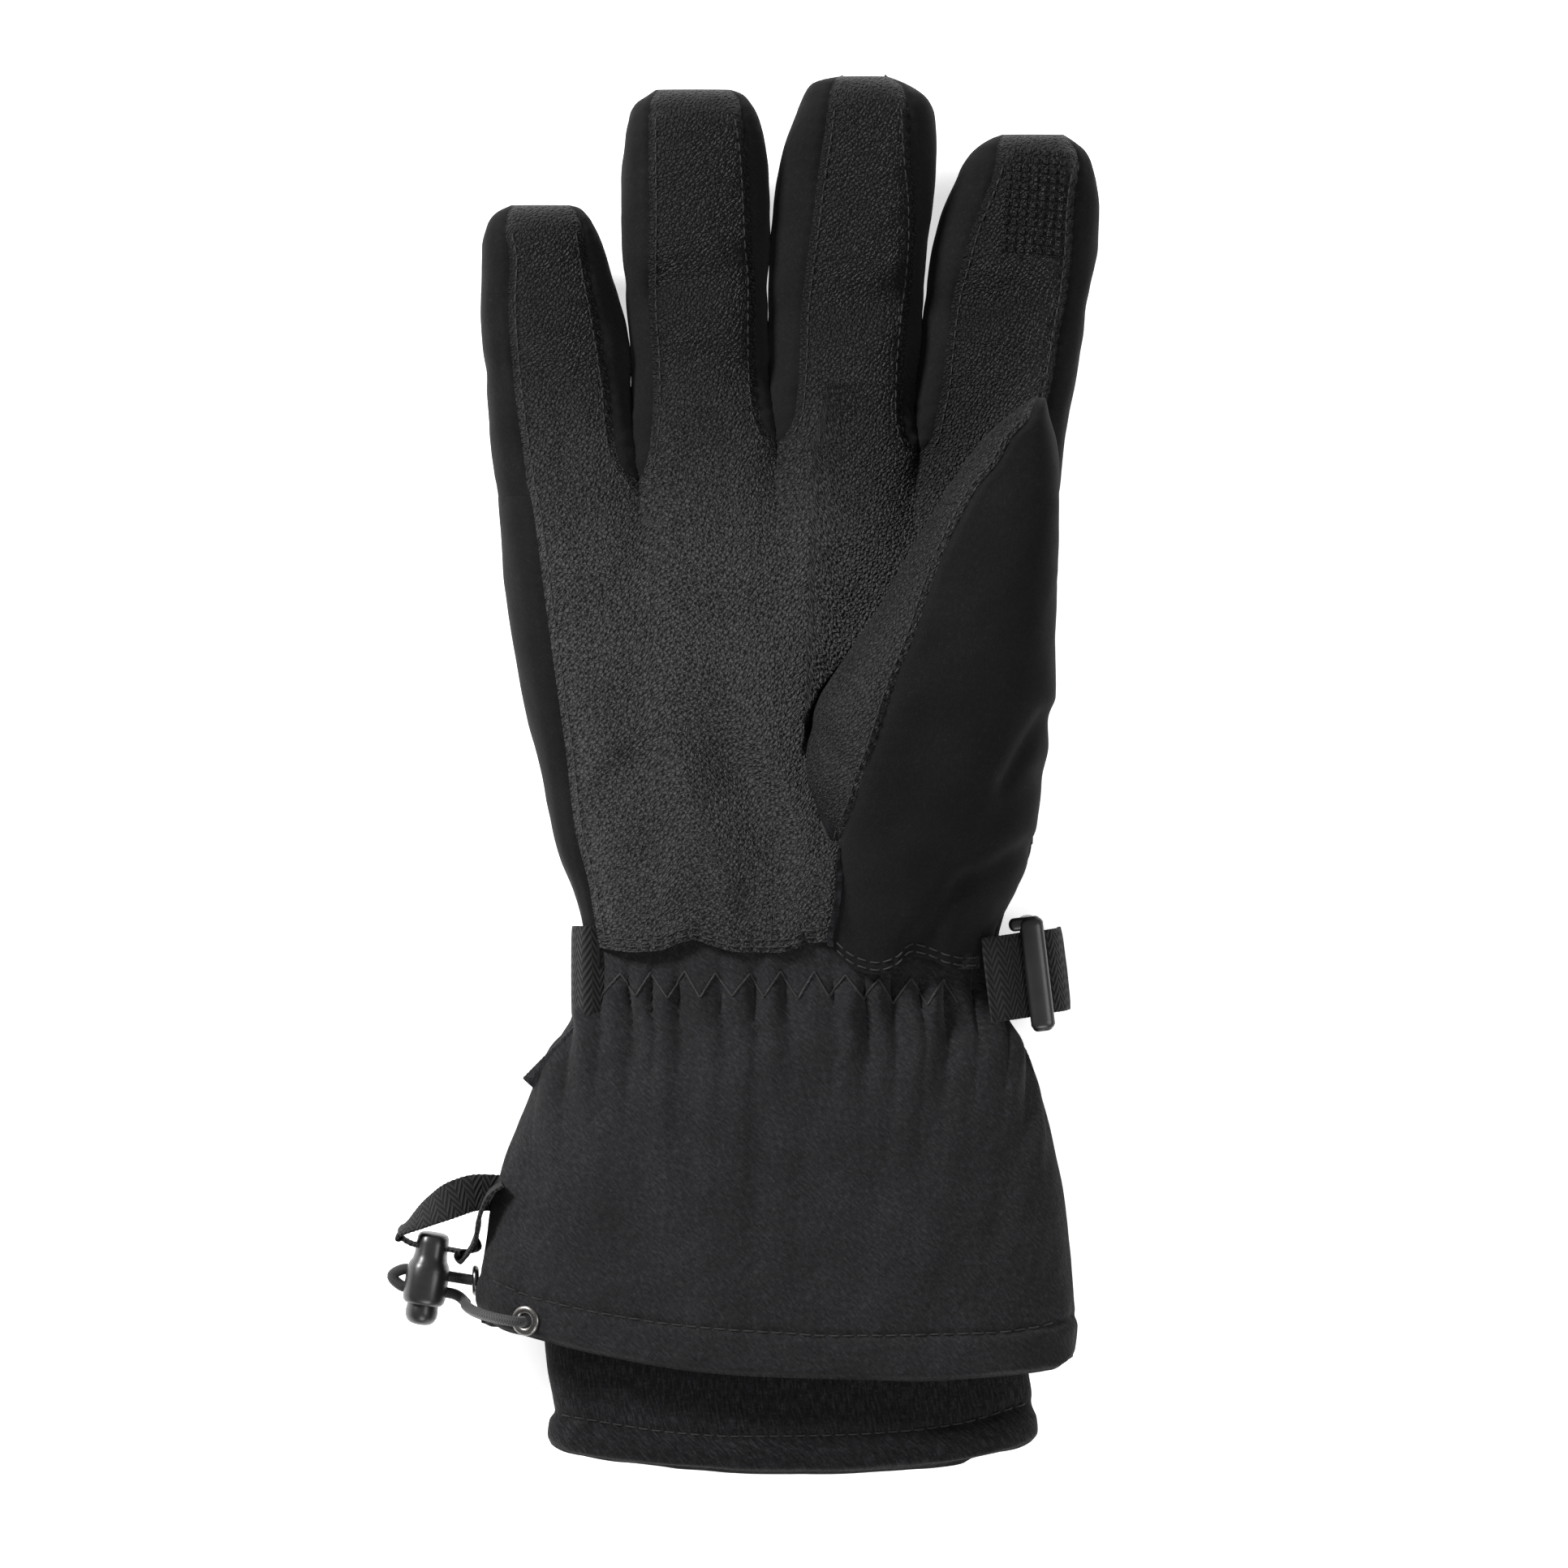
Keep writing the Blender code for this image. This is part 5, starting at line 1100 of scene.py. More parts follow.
# turned in at the mouth, then up inside to the closed end of the lining
inner = []
last = G[-1]
c = last.mean(0)
for off, dy in ((1.6, -.35), (3.2, .3), (4.4, 2.2), (4.8, 6), (4.8, 14), (4.8, 30), (5.0, 60), (5.2, 95)):
    k = np.array([1 - off / 55, 1, 1 - off / 17])
    r = (last - c) * k + c
    r[:, 1] = last[:, 1] + dy
    inner.append(r)
for f_, y_ in ((.7, 124), (.35, 130), (.02, 133)):
    r = (inner[7] - inner[7].mean(0)) * np.array([f_, 0, f_]) + inner[7].mean(0)
    r[:, 1] = y_
    inner.append(r)
G2 = np.concatenate([G, np.array(inner)])
A2 = np.concatenate([A, np.repeat(A[-1:], len(inner), 0)])
Ug = np.stack([A2, G2[:, :, 1]], 2)
rows, F = len(G2), grid_faces(len(G2), n, True)
edge_row = len(G) - 1
v_line = int(np.argmin(np.abs(vs - .8)))
fm_ = [1 if v_line <= i // n < edge_row + 2 else (2 if i // n >= edge_row + 2 else 0) for i in range(len(F))]
ob = make("inner_cuff_knit", G2.reshape(-1, 3), F, Ug.reshape(-1, 2), ("knit", "band", "lining"), fmat=fm_)
PIECES["inner_cuff_knit"] = ob


# ---------------------------------------------------------- laying on tools
def tree(objs):
    V, F, o = [], [], 0
    for ob in objs:
        me_ = ob.data
        V += [v.co.copy() for v in me_.vertices]
        F += [tuple(i + o for i in p.vertices) for p in me_.polygons]
        o = len(V)
    return BVHTree.FromPolygons(V, F)


TREE = tree([o for o in PIECES.values()])


def drop(x, y, lift=0.0, t=None, frm=.09):
    """Highest surface point over (x, y) in millimetres, and its normal."""
    h, nrm, _, _ = (t or TREE).ray_cast(Vector(((x + SX) * .001, (y + SY) * .001, frm)), Vector((0, 0, -1)))
    if h is None:
        return None, None
    nrm = np.array(nrm) * (1 if nrm.z > 0 else -1)
    return np.array([x, y, h.z * 1000]) + nrm * lift, nrm


def lengthwise(pts, step):
    Pm = np.asarray(pts, float)
    d = np.concatenate([[0], np.cumsum(np.linalg.norm(np.diff(Pm, axis=0), axis=1))])
    t = np.arange(0, d[-1], step)
    return np.stack([np.interp(t, d, Pm[:, k]) for k in range(Pm.shape[1])], 1)


def stitches(pts, dash=2.3, gap=.75, r=.21, lift=.05, t=None, side=0.0):
    """Thread lying on the surface under a line of (x, y) points."""
    Q = lengthwise(pts, .25)
    if side:
        T = np.gradient(Q, axis=0)
        T /= np.maximum(np.linalg.norm(T, axis=1, keepdims=True), 1e-9)
        Q = Q + np.stack([-T[:, 1], T[:, 0]], 1) * side
    parts, k, nd = [], 0, int(dash / .25)
    ng = int(round(gap / .25))
    while k + nd < len(Q):
        seg = Q[k:k + nd + 1:max(1, nd // 6)]
        p3 = []
        for j, (x, y) in enumerate(seg):
            p, nrm = drop(x, y, 0, t)
            if p is None:
                break
            e = abs(j / (len(seg) - 1) * 2 - 1)
            p3.append(p + nrm * (lift + .16 - .42 * e ** 4))
        if len(p3) == len(seg) and np.ptp(np.array(p3)[:, 2]) < 3.0:
            parts.append(tube_along(p3, r, 6))
        k += nd + ng
    return parts


def thread_piece(name, parts, kind="thread"):
    V, F = join_parts(parts)
    uv = np.stack([V[:, 0] + V[:, 2], V[:, 1]], 1)
    return make(name, V, F, uv, (kind,))


def line(fn, y0, y1, inset=0.0, n=80):
    ys_ = np.linspace(y0, y1, n)
    return np.stack([fn(ys_) + inset, ys_], 1)


SEAMS = {}
FRONT_T = tree([o for k, o in PIECES.items() if k.endswith("_front") or k == "palm_panel"])
for f in NAMES:
    i = NAMES.index(f)
    lo_l = 123.5 if i == 0 else YC[i - 1] + 2
    lo_r = YC[i] + 2 if i < 3 else 205
    parts = []
    for fn, lo, sg in ((SEAM_L[f], lo_l, 1), (SEAM_R[f], lo_r, -1)):
        cutp = SPLIT[f]
        for a_, b_, where in ((lo, cutp, "palm"), (max(lo, cutp), TIP[f] - 7, "finger")):
            if b_ <= a_:
                continue
            st = stitches(line(fn, a_, b_, sg * 1.75), 2.1, .7, .17, t=FRONT_T)
            if where == "palm":
                SEAMS.setdefault("palm", []).extend(st)
            else:
                parts += st
    PIECES[f + "_stitches"] = thread_piece(f + "_stitches", parts)
edge_pts = np.array([(x, float(PALM_EDGE(x))) for x in np.linspace((-39.7, 120.6)[0], (9.8, 121.9)[0], 90)])
for off in (1.3, 2.9):
    SEAMS["palm"] += stitches(edge_pts + np.array([0, off]), 2.3, .7, .19, t=FRONT_T)
PIECES["palm_stitches"] = thread_piece("palm_stitches", SEAMS["palm"])

# thumb: row along the seam, and the double row at its root
TT = tree([PIECES["thumb_leather_skin"], PIECES["thumb_soft_skin"]])
st = stitches(line(THUMB_SEAM, 124, 240, -1.7), 2.1, .7, .17, t=TT)
pts_ = np.array([(x, float(THUMB_EDGE(x))) for x in np.linspace(14, 47, 70)])
for off in (1.2, 2.9):
    st += stitches(pts_ + np.array([0, off]), 2.3, .7, .19, t=TT)
PIECES["thumb_stitches"] = thread_piece("thumb_stitches", st)

# gauntlet: hem row and the zigzag over the elastic
GT = tree([PIECES["gauntlet_front_panel"]])
hem_pts = np.array([(x, float(STITCH_F(x))) for x in np.linspace(-64.5, 66.5, 200)])
st = stitches(hem_pts, 2.6, .8, .2, t=GT)
zz = []
x, k = (-43.2, 337.2)[0], 0
while x < (45.4, 337.2)[0]:
    yy = 115.2 if k % 2 == 0 else 109.6
    yy += -1.6 * sstep(np.array((x - 12) / 16.0)) + .35 * math.sin(k * 2.3)
    zz.append((x, float(yy)))
    x += 3.7 + .4 * math.sin(k * 1.7)
    k += 1
Q = lengthwise(np.array(zz), .3)
run = []
for x, y in Q:
    p, nrm = drop(x, y, 0, GT)
    if p is not None:
        run.append(p + nrm * (.12 + .1 * abs(math.sin(x * 3))))
st.append(tube_along(run, .24, 6))
PIECES["gauntlet_stitches"] = thread_piece("gauntlet_stitches", st)
st = []
CT = tree([PIECES["inner_cuff_knit"]])
cl = np.array([(x, float(CUFF_LINE(x))) for x in np.linspace(-49, 58, 160)])
PIECES["cuff_stitches"] = thread_piece("cuff_stitches", stitches(cl, 2.3, .7, .18, t=CT))

# raised squares of the touch patch on the index fingertip
parts = []
FT = tree([PIECES["index_front"]])
cx_, cy_ = (60.1, 291.4)
rot = math.radians(-4)
for i in range(8):
    for j in range(12):
        dx, dy = (i - 3.5) * 2.06, (j - 5.5) * 2.02
        if abs(i - 3.5) > 3 and j > 9:
            continue
        x, y = cx_ + dx * math.cos(rot) - dy * math.sin(rot), cy_ + dx * math.sin(rot) + dy * math.cos(rot)
        if x < SEAM_L["index"](y) + 2.4 or x > SEAM_R["index"](y) - 2.2:
            continue
        r_ = []
        for h, s_ in ((-.25, .62), (.2, .6), (.3, .5)):
            for qx, qy in ((-1, -1), (1, -1), (1, 1), (-1, 1)):
                ex, ey = qx * s_, qy * s_
                p, nrm = drop(x + ex * math.cos(rot) - ey * math.sin(rot), y + ex * math.sin(rot) + ey * math.cos(rot), 0, FT)
                r_.append(p + nrm * h)
        Fq = [(a, a + 1 if a % 4 < 3 else a - 3, (a + 1 if a % 4 < 3 else a - 3) + 4, a + 4) for a in range(8)] + [(3, 2, 1, 0), (8, 9, 10, 11)]
        parts.append((np.array(r_), Fq))
V, F = join_parts(parts)
PIECES["index_touch_squares"] = make("index_touch_squares", V, F, V[:, :2], ("pad",), smooth=False)


# ------------------------------------------------- webbing, buckle and strap
def band(name, rings, uvs, kind, sharp=50):
    """Closed solid through equal closed rings (flat webbing, bars)."""
    G = np.array(rings)
    m, n = G.shape[:2]
    V, F = G.reshape(-1, 3), grid_faces(m, n, True)
    F += [tuple(reversed(range(n))), tuple(range((m - 1) * n, m * n))]
    ob = make(name, V, F, np.array(uvs).reshape(-1, 2), (kind,))
    b_ = bmesh.new()
    b_.from_mesh(ob.data)
    bmesh.ops.recalc_face_normals(b_, faces=b_.faces)
    if b_.calc_volume(signed=True) < 0:
        bmesh.ops.reverse_faces(b_, faces=b_.faces)
    b_.to_mesh(ob.data)
    b_.free()
    ob.data.set_sharp_from_angle(angle=math.radians(sharp))
    return ob


def tape(name, path, wdir, half, t, kind="web", across=13, wav=.12, thick_edge=True):
    """Flat woven tape: path points, width directions, half width, thickness."""
    Pm, Wd = np.asarray(path, float), np.asarray(wdir, float)
    T = np.gradient(Pm, axis=0)
    T /= np.maximum(np.linalg.norm(T, axis=1, keepdims=True), 1e-9)
    Wd = Wd - T * (Wd * T).sum(1, keepdims=True)
    Wd /= np.linalg.norm(Wd, axis=1, keepdims=True)
    N = np.cross(T, Wd)
    s = np.concatenate([[0], np.cumsum(np.linalg.norm(np.diff(Pm, axis=0), axis=1))])
    u = np.linspace(-1, 1, across)
    half = np.broadcast_to(np.asarray(half, float), (len(Pm),))
    rings, uvs = [], []
    for k in range(len(Pm)):
        e = 1 - .45 * np.abs(u) ** 6
        n_ = wav * noise3(u * 1.5 + 3, u * 0 + s[k] / 5, u * 0 + 1.5)
        rib = .05 * math.sin(s[k] * 2 * math.pi / 1.1)
        hw = half[k] + .08 * math.sin(s[k] * 2 * math.pi / 1.0)
        up = [Pm[k] + Wd[k] * (hw * a) + N[k] * (t / 2 * b + c + rib) for a, b, c in zip(u, e, n_)]
        dn = [Pm[k] + Wd[k] * (hw * a) + N[k] * (-t / 2 * b + c - rib) for a, b, c in zip(u[::-1], e[::-1], n_[::-1])]
        rings.append(up + dn)
        uvs.append([(s[k], half[k] * a) for a in u] + [(s[k], half[k] * a) for a in u[::-1]])
    return band(name, rings, uvs, kind)


def crom(ctrl, n):
    """Smooth curve through control points, n samples."""
    C = np.asarray(ctrl, float)
    out = []
    for u in np.linspace(0, len(C) - 1, n):
        k = min(len(C) - 2, int(u))
        f = u - k
        a, b, c, d = C[max(0, k - 1)], C[k], C[k + 1], C[min(len(C) - 1, k + 2)]
        out.append(.5 * (2 * b + (c - a) * f + (2 * a - 5 * b + 4 * c - d) * f * f + (3 * b - a - 3 * c + d) * f ** 3))
    return np.array(out)


# wrist strap: sewn in at the left, round the back of the wrist, up to the buckle
th = np.radians(np.linspace(146, 331, 150))
ctr = []
for t_ in th:
    y_ = 114.0
    xl, xr = -44.8, 50.8
    zb, zt = 1.2, 35.4
    cx, a, cz, b = (xl + xr) / 2, (xr - xl) / 2 + 1.6, (zb + zt) / 2, (zt - zb) / 2 + .7
    c, s = math.cos(t_), math.sin(t_)
    ctr.append((cx + a * math.copysign(abs(c) ** (2 / 2.4), c), y_, max(.75, cz + b * math.copysign(abs(s) ** (2 / 2.4), s))))
ctr = np.array(ctr)
ctr[:, 2] -= 4.5 * (1 - sstep((np.degrees(th) - 146) / 13))
ctr[:, 0] += 1.5 * (1 - sstep((np.degrees(th) - 146) / 13))
ctr[:, 1] = 114.0 + .9 * np.linspace(1, -1, 150)
PIECES["wrist_webbing"] = tape("wrist_webbing", ctr, np.repeat([[0, 1.0, 0]], 150, 0), 10.9, 1.1)

BT = Matrix.Translation((59.6, 114.8, 28.5)) @ Matrix.Rotation(math.radians(6.9), 4, "Z")


def bt(p):
    return np.array(BT @ Vector([float(v) for v in p]))


def hook_path(x0, z0, r, t0, t1, tail, n=26):
    pts = [(x0 + r * math.cos(a), 0, z0 + r * math.sin(a)) for a in np.radians(np.linspace(t0, t1, n))]
    c = crom([pts[-1]] + [(x, 0, z) for x, z in tail], 12 * len(tail))
    return np.array([bt(p) for p in pts] + [bt(p) for p in c[1:]])


yb = np.array(BT.to_3x3() @ Vector((0, 1, 0)))
an = np.array([bt((x, 0, z)) for x, z in crom([(-2.4, -5.9), (.4, -5.6), (2.2, -4.0), (1.6, -2.2), (-.4, -1.35), (-2.6, -.4), (-4.8, 1.7), (-7.6, 4.0), (-11.4, 5.6)], 90)])
PIECES["strap_fold"] = tape("strap_fold", an, np.repeat([yb], len(an), 0), 9.7, 1.15, wav=.1)
ta = hook_path(0, -9.5, 2.55, 240, 75, [(3.6, -7.4), (5.9, -10.4), (7.0, -15.5), (7.2, -20.5), (7.0, -25.0)])
half = np.full(len(ta), 9.5)
half[-10:] = np.linspace(9.5, 8.4, 10)
PIECES["strap_end"] = tape("strap_end", ta, np.repeat([yb], len(ta), 0), half, 1.25, wav=.12)

# slide buckle: two long bars, a middle bar and two end rails, all rounded
parts = []


def rbar(p0, p1, rx, rz, n=22, sides=18, swell=0.0):
    A, B = np.array(p0, float), np.array(p1, float)
    d = (B - A) / np.linalg.norm(B - A)
    e1 = np.array([1.0, 0, 0]) if abs(d[0]) < .8 else np.array([0, 0, 1.0])
    e1 -= d * d.dot(e1)
    e1 /= np.linalg.norm(e1)
    e2 = np.cross(d, e1)
    V_ = []
    L_ = np.linalg.norm(B - A)
    for k in range(n):
        v = (1 - math.cos(math.pi * k / (n - 1))) / 2
        q = min(1, max(0, v * L_ / 1.3), max(0, (1 - v) * L_ / 1.3))
        cap = max(.05, math.sqrt(max(0, 1 - (1 - q) ** 2)))
        for i in range(sides):
            t_ = 2 * math.pi * i / sides
            c, s = math.cos(t_), math.sin(t_)
            g_ = cap * (1 + swell * math.sin(math.pi * v))
            V_.append(A + d * (v * L_) + e1 * (rx * g_ * math.copysign(abs(c) ** .72, c)) + e2 * (rz * g_ * math.copysign(abs(s) ** .72, s)))
    F_ = grid_faces(n, sides, True) + [tuple(reversed(range(sides))), tuple(range((n - 1) * sides, n * sides))]
    return np.array(V_), F_


for z in (0.0, -9.5, -20.0):
    parts.append(rbar((0, -12.9, z), (0, 12.9, z), 1.75, 1.75) if z else rbar((.3, -13.1, 1.2), (.3, 13.1, 1.2), 2.75, 1.7))
for s in (-1, 1):
    parts.append(rbar((0, s * 11.6, -21.9), (0, s * 11.6, 1.95), 1.85, 1.6))
    parts.append(rbar((-4.8 if s > 0 else -2.2, s * 11.7, .3), (2.6, s * 11.7, 1.2), 1.6, 1.55))
V, F = join_parts(parts)
V = np.array([bt(v) for v in V])
PIECES["slide_buckle"] = make("slide_buckle", V, F, np.stack([V[:, 1], V[:, 2]], 1), ("plastic",))

# reinforcement tape beside the buckle, on the side seam
rp = []
for px, py in ((53.4, 103.3), (55.1, 99.2), (56.9, 95.5), (58.6, 91.5)):
    rp.append((px + 3.2, py))
rp = lengthwise(np.array(rp), .6)
pp = []
for x, y in rp:
    xr_ = float(GR_(y))
    pp.append((xr_ + .35, y, 17.5))
PIECES["side_binding"] = tape("side_binding", np.array(pp), np.repeat([[0.1, .0, 1.0]], len(pp), 0), 5.5, .8, kind="label", wav=.06)

# plain folded side label, sewn into the side seam
A_, B_ = (-45.6, 100), (-56.2, 89.2)
tab = np.array([(A_[0] + (B_[0] - A_[0]) * v, A_[1] + (B_[1] - A_[1]) * v, 22.6 + 1.2 * math.sin(2.6 * v)) for v in np.linspace(-.1, 1, 36)])
PIECES["side_tab"] = tape("side_tab", tab, np.repeat([[.61, -.79, -.22]], len(tab), 0), 2.35, 1.0, kind="label", wav=.1)

# ------------------------------------------------ loop, cord lock, cord, rings
LK = Matrix.Translation((-80.1, 44.6, 17.0)) @ Matrix.Rotation(math.radians(-9.2), 4, "Z")


def lk(p, s, z=0.0):
    return tuple(LK @ Vector((p, s, z)))


loop_path = [(-62.6, 64.2, 22.2), (-68.5, 64.4, 22.4), (-72.4, 63.4, 22.4), (-76.4, 61.6, 22), (-80.4, 59.4, 20.6), (-84, 57.0, 18.8),
             (-86.4, 54.6, 17.2), lk(-5.0, 7.2), lk(-1.5, 7.2), lk(2.5, 7.2), lk(7.5, 7.2),
             (-70.2, 51.2, 18.6), (-68.6, 54.8, 22.6), (-67.6, 59.4, 26.6), (-65.4, 64.4, 28.4), (-62.4, 66.6, 28.4)]
loop_w = [(0, 1, 0), (.1, .99, 0), (.1, .98, -.1), (0, .9, -.4), (-.2, .6, -.8), (-.1, .25, -.96), (0, 0, -1), (0, 0, -1), (0, 0, -1),
          (0, 0, -1), (0, 0, -1), (0, 0, -1), (0, .05, -1), (0, .1, -1), (0, .1, -1), (0, .1, -1)]
lp_, lw_ = crom(loop_path, 170), crom(loop_w, 170)
PIECES["loop_webbing"] = tape("loop_webbing", lp_, lw_, 4.2, .95, across=11, wav=.05)


def lump(sections, n=40, power=2.6, turn=None):
    """Rounded moulding along the lock's own length: (s, half width, half height)."""
    rings, uvs = [], []
    for s, hw, hh in sections:
        r = []
        for i in range(n):
            t_ = 2 * math.pi * i / n
            c, q = math.cos(t_), math.sin(t_)
            r.append(lk(hw * math.copysign(abs(c) ** (2 / power), c), s, hh * math.copysign(abs(q) ** (2 / power), q)))
        rings.append(r)
        uvs.append([(20.0 * i / n, s) for i in range(n)])
    return rings, uvs


prof = [(-6.2, 3.6, 5.6), (-6.0, 4.3, 6.4), (-5.4, 4.75, 6.9), (-4.4, 4.95, 7.1), (0, 5.0, 7.1), (2.2, 4.9, 7.0), (3.4, 4.45, 6.6), (4.1, 4.0, 6.2), (5.4, 3.75, 5.9),
        (8.0, 3.7, 5.8), (9.4, 3.6, 5.6), (10.1, 3.2, 5.1), (10.4, 2.4, 4.2)]
r_, u_ = lump(prof)
PIECES["cord_lock_case"] = band("cord_lock_case", r_, u_, "plastic", 70)
prof = [(-10.9, 1.4, 2.4), (-10.7, 2.3, 3.7), (-10.1, 3.1, 4.8), (-9.0, 3.65, 5.4), (-7.8, 3.75, 5.5), (-6.4, 3.6, 5.4), (-5.6, 3.5, 5.2)]
r_, u_ = lump(prof, power=2.2)
PIECES["cord_lock_plunger"] = band("cord_lock_plunger", r_, u_, "plastic", 70)

CORD = [(-68.9, 43.9, 17), lk(9.6, 1.05), lk(7.0, 1.05), lk(2.0, 1.05), lk(-2.5, 1.05), lk(-5.6, 1.05), lk(-8.0, -.9), lk(-5.6, -2.8), lk(-2.5, -2.8),
        lk(2.0, -2.8), lk(6.8, -2.8), (-71.4, 39.2, 19), (-70.6, 38.4, 25), (-67.8, 37.4, 32), (-63.4, 36.6, 38.2), (-59.2, 36.1, 40.8), (-57.2, 36.0, 39.4)]
cpts = W(crom(CORD, 90))
cu = bpy.data.curves.new("hem_cord", "CURVE")
cu.dimensions = "3D"
sp = cu.splines.new("POLY")
sp.points.add(len(cpts) - 1)
for k, p in enumerate(cpts):
    sp.points[k].co = (*p, 1)
cu.bevel_depth, cu.bevel_resolution, cu.use_fill_caps = .00125, 3, True
cm, cnt, cb = mat("cord_braid", .7, sheen=.15, spec=.4)
cuv = node(cnt, "ShaderNodeTexCoord").outputs["UV"]
cmap = node(cnt, "ShaderNodeMapping", {"Vector": cuv, "Scale": (95, 6, 1), "Rotation": (0, 0, .5)}).outputs[0]
cmap2 = node(cnt, "ShaderNodeMapping", {"Vector": cuv, "Scale": (95, 6, 1), "Rotation": (0, 0, -.5)}).outputs[0]
br = math_(cnt, "MAXIMUM", wave(cnt, cmap, .5), wave(cnt, cmap2, .5))
cnt.links.new(ramp(cnt, br, [(.3, grey(.004)), (.9, grey(.02))]), cb.inputs["Base Color"])
cnt.links.new(bump(cnt, br, .7, .0002), cb.inputs["Normal"])
cu.materials.append(cm)
cord = bpy.data.objects.new("hem_cord", cu)
COL.objects.link(cord)


def eyelet(name, c, nrm, ro, ri, h=.9, n=40, m=16):
    nz = Vector(nrm).normalized()
    q = nz.to_track_quat("Z", "Y")
    V_, U_ = [], []
    for i in range(n):
        a = 2 * math.pi * i / n
        for j in range(m):
            b = 2 * math.pi * j / m
            rr = (ro + ri) / 2 + (ro - ri) / 2 * math.cos(b)
            p = q @ Vector((rr * math.cos(a), rr * math.sin(a), h * math.sin(b) * (.75 if math.sin(b) > 0 else 1)))
            V_.append(np.array(c) + np.array(p))
            U_.append((a * 3, b))
    F_ = [(i * m + j, ((i + 1) % n) * m + j, ((i + 1) % n) * m + (j + 1) % m, i * m + (j + 1) % m) for i in range(n) for j in range(m)]
    return make(name, np.array(V_), F_, np.array(U_), ("metal",))


ef, en = drop(-56.8, 36.0, .1, GT)
if ef is None:
    ef, en = np.array([-56.8, 36, 39.0]), np.array([-.5, 0, .87])
PIECES["eyelet_ring_front"] = eyelet("eyelet_ring_front", ef, en, 3.5, 1.6)
PIECES["eyelet_ring_back"] = eyelet("eyelet_ring_back", (-69.1, 43.9, 17), (-1, 0, .05), 3.5, 1.6)


# --------------------------------------------------- joining to the CAD frame
def carry(name, body, slot, *nodes):
    o = PIECES[name]
    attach(o, body)
    if nodes:
        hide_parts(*nodes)
    return o


def bend(name, body, reach, slot, *nodes):
    o = PIECES[name]
    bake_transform(o)
    if nodes:
        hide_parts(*nodes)
    return o


carry("palm_panel", "hand", "leather", "palm_leather", "insulation_palm", "hand_lining")
carry("hand_back", "hand", "softshell", "hand_back_shell", "hand_side_gusset", "insulation_back")
carry("palm_stitches", "hand", "elastic")
four = {"pinky": (), "ring": ("fourchette_pinky_ring", "fourchette_ring_middle"), "middle": (), "index": ("fourchette_middle_index",)}
for f in NAMES:
    bend(f + "_front", f, 13, "leather", f + "_leather")
    bend(f + "_sides", f, 13, "softshell", f + "_shell", f + "_liner", *four[f])
    bend(f + "_stitches", f, 13, "elastic")
bend("index_touch_squares", "index", 13, "leather")
bend("thumb_leather_skin", "thumb", 17, "leather", "thumb_leather", "thumb_base_leather")
bend("thumb_soft_skin", "thumb", 17, "softshell", "thumb_shell", "thumb_base_shell", "thumb_liner")
bend("thumb_stitches", "thumb", 17, "elastic")
carry("gauntlet_front_panel", "hand", "gauntlet_fabric", "gauntlet_front", "hem_channel_front")
carry("gauntlet_back_panel", "hand", "gauntlet_fabric", "gauntlet_back", "hem_channel_back")
carry("gauntlet_inner", "hand", "lining", "gauntlet_lining")
carry("gauntlet_stitches", "hand", "elastic", "wrist_elastic")
carry("inner_cuff_knit", "hand", "knit", "inner_cuff", "inner_cuff_hem")
carry("cuff_stitches", "hand", "knit")
carry("wrist_webbing", "hand", "webbing", "wrist_strap")
carry("strap_fold", "hand", "webbing", "strap_anchor")
carry("strap_end", "strap_tail", "webbing", "strap_tail")
carry("slide_buckle", "buckle", "plastic", "buckle_frame")
carry("side_binding", "hand", "webbing")
carry("side_tab", "hand", "webbing", "side_label")
carry("loop_webbing", "hand", "webbing", "hang_loop")
carry("cord_lock_case", "cord_lock", "plastic", "cord_lock_body")
carry("cord_lock_plunger", "lock_button", "plastic", "cord_lock_button")
carry("eyelet_ring_front", "hand", "metal", "eyelet_front")
carry("eyelet_ring_back", "hand", "metal", "eyelet_back")
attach(cord, "hand")
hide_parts("drawcord")

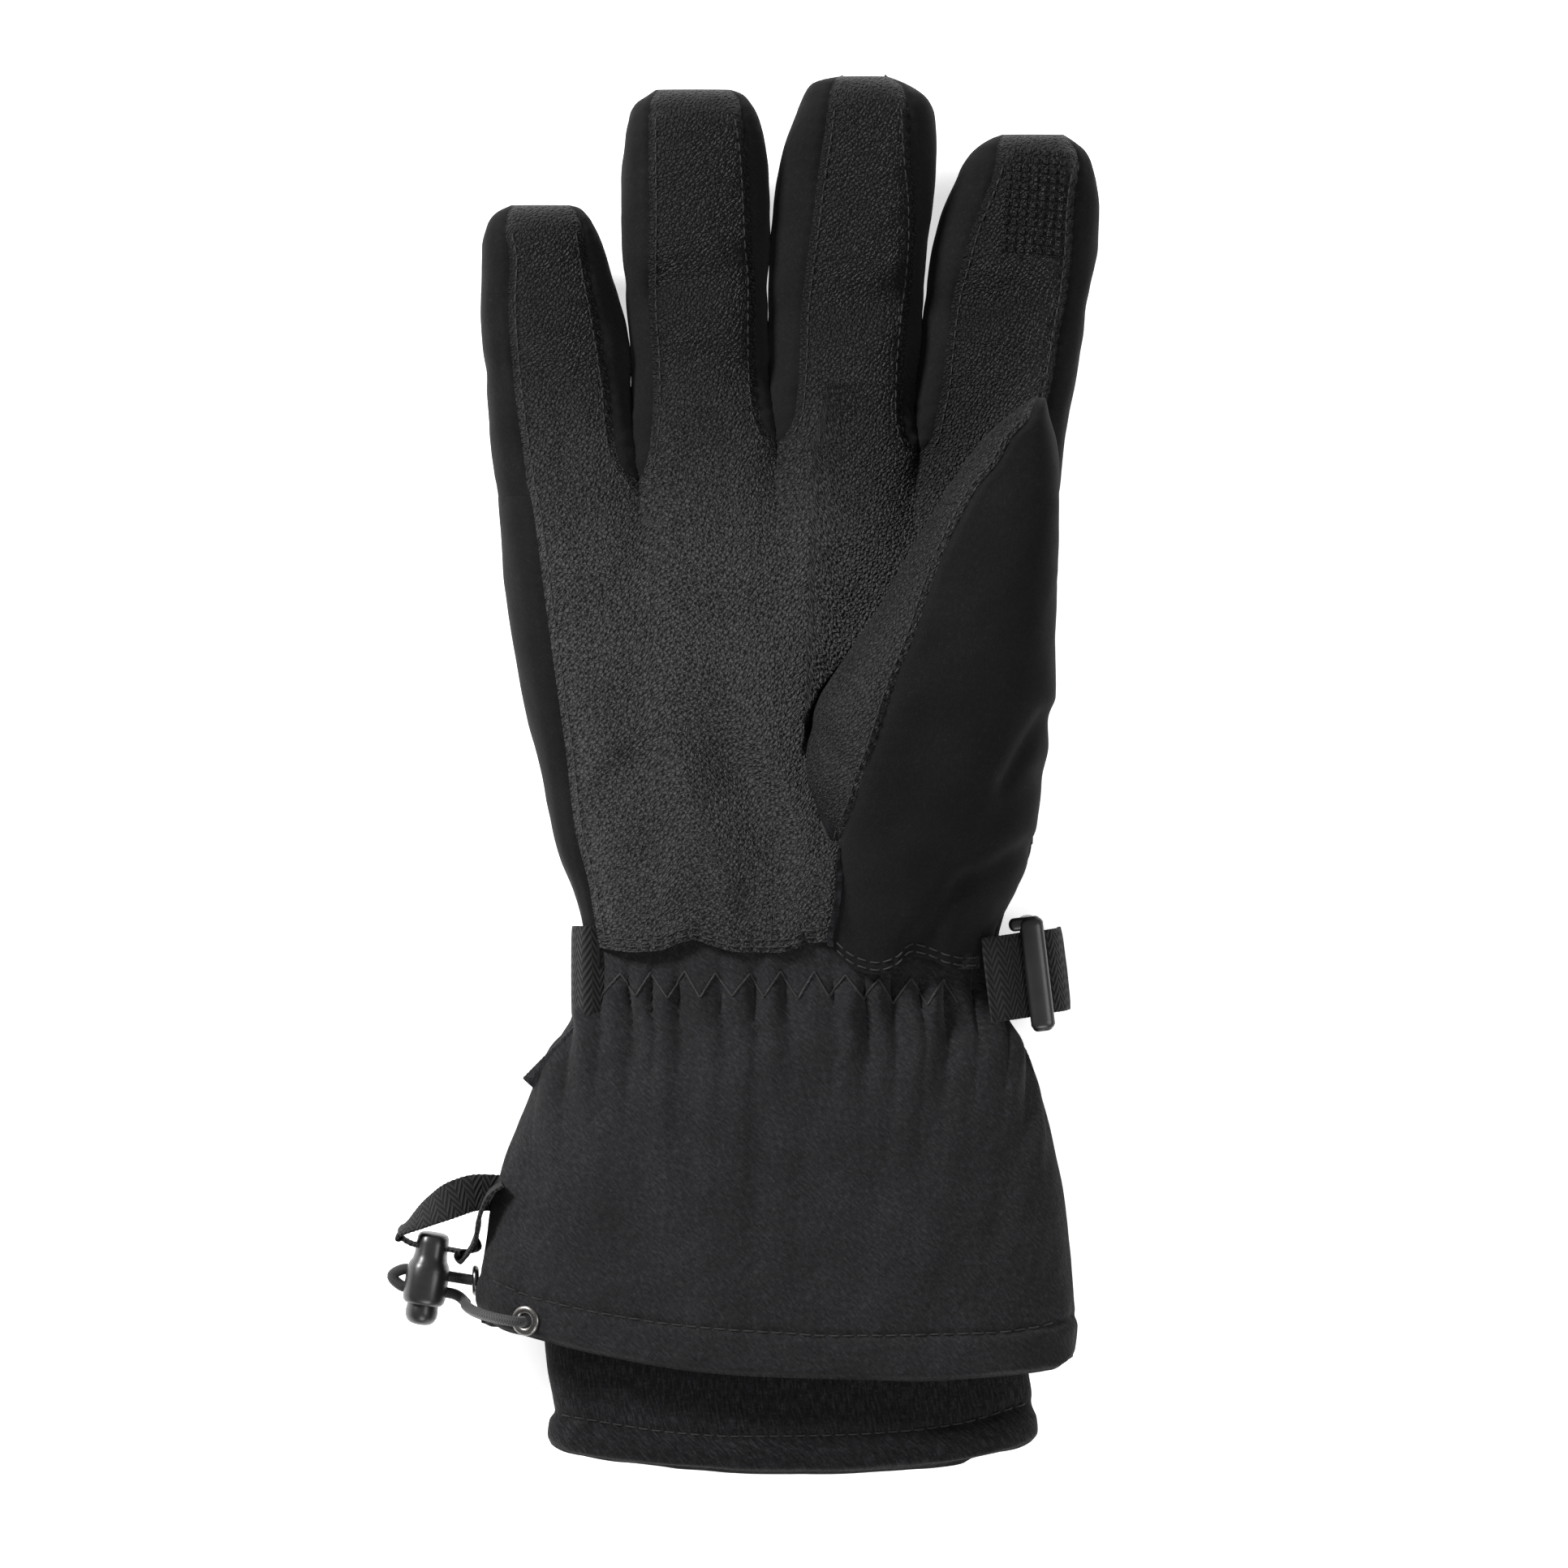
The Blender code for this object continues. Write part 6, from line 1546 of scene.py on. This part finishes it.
# the spring inside the cord lock stays as it is, in bright wire
sm, snt, sb = mat("spring_wire", .25, metallic=1.0)
sc = node(snt, "ShaderNodeTexCoord").outputs["Object"]
sn = node(snt, "ShaderNodeTexNoise", {"Vector": sc, "Scale": 900.0, "Detail": 3.0}).outputs["Fac"]
snt.links.new(ramp(snt, sn, [(.3, (.4, .4, .4)), (.8, (.65, .65, .65))]), sb.inputs["Base Color"])
snt.links.new(bump(snt, sn, .2, .00005), sb.inputs["Normal"])
for s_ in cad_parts["cord_lock_spring"].material_slots:
    s_.material = sm


# ------------------------------------------------------ floor, light, camera
me = bpy.data.meshes.new("floor")
bm = bmesh.new()
bmesh.ops.create_grid(bm, x_segments=2, y_segments=2, size=3)
bm.to_mesh(me)
bm.free()
floor = bpy.data.objects.new("floor", me)
COL.objects.link(floor)
floor.location = (0, 0, -.0002)
fm, fnt, fb = mat("floor_white", .9, spec=.2)
fb.inputs["Base Color"].default_value = (.93, .93, .93, 1)
fb.inputs["Emission Color"].default_value = (1, 1, 1, 1)
fb.inputs["Emission Strength"].default_value = .60
me.materials.append(fm)

world = bpy.data.worlds.new("studio")
world.use_nodes = True
world.node_tree.nodes["Background"].inputs[0].default_value = (1, 1, 1, 1)
world.node_tree.nodes["Background"].inputs[1].default_value = .36
bpy.context.scene.world = world


def area(name, loc, size, power, target=(0, 0, .02)):
    l = bpy.data.lights.new(name, "AREA")
    l.shape, l.size, l.energy = "DISK", size, power
    o = bpy.data.objects.new(name, l)
    o.location = loc
    o.rotation_euler = (Vector(target) - Vector(loc)).to_track_quat("-Z", "Y").to_euler()
    COL.objects.link(o)
    return o


area("key", (-1.15, .95, .80), .45, 52)
area("fill", (1.0, -.2, 1.3), .8, 9)
area("front", (.1, -1.2, .9), .7, 9)

cam = bpy.data.cameras.new("camera")
cam.lens, cam.sensor_width, cam.clip_start = 180, 36, .05
co = bpy.data.objects.new("camera", cam)
co.location = (.0090, -.0020, .03 + .3584 * 180 / 36)
COL.objects.link(co)
bpy.context.scene.camera = co
bpy.context.scene.view_settings.view_transform = "Standard"
bpy.context.scene.view_settings.look = "None"
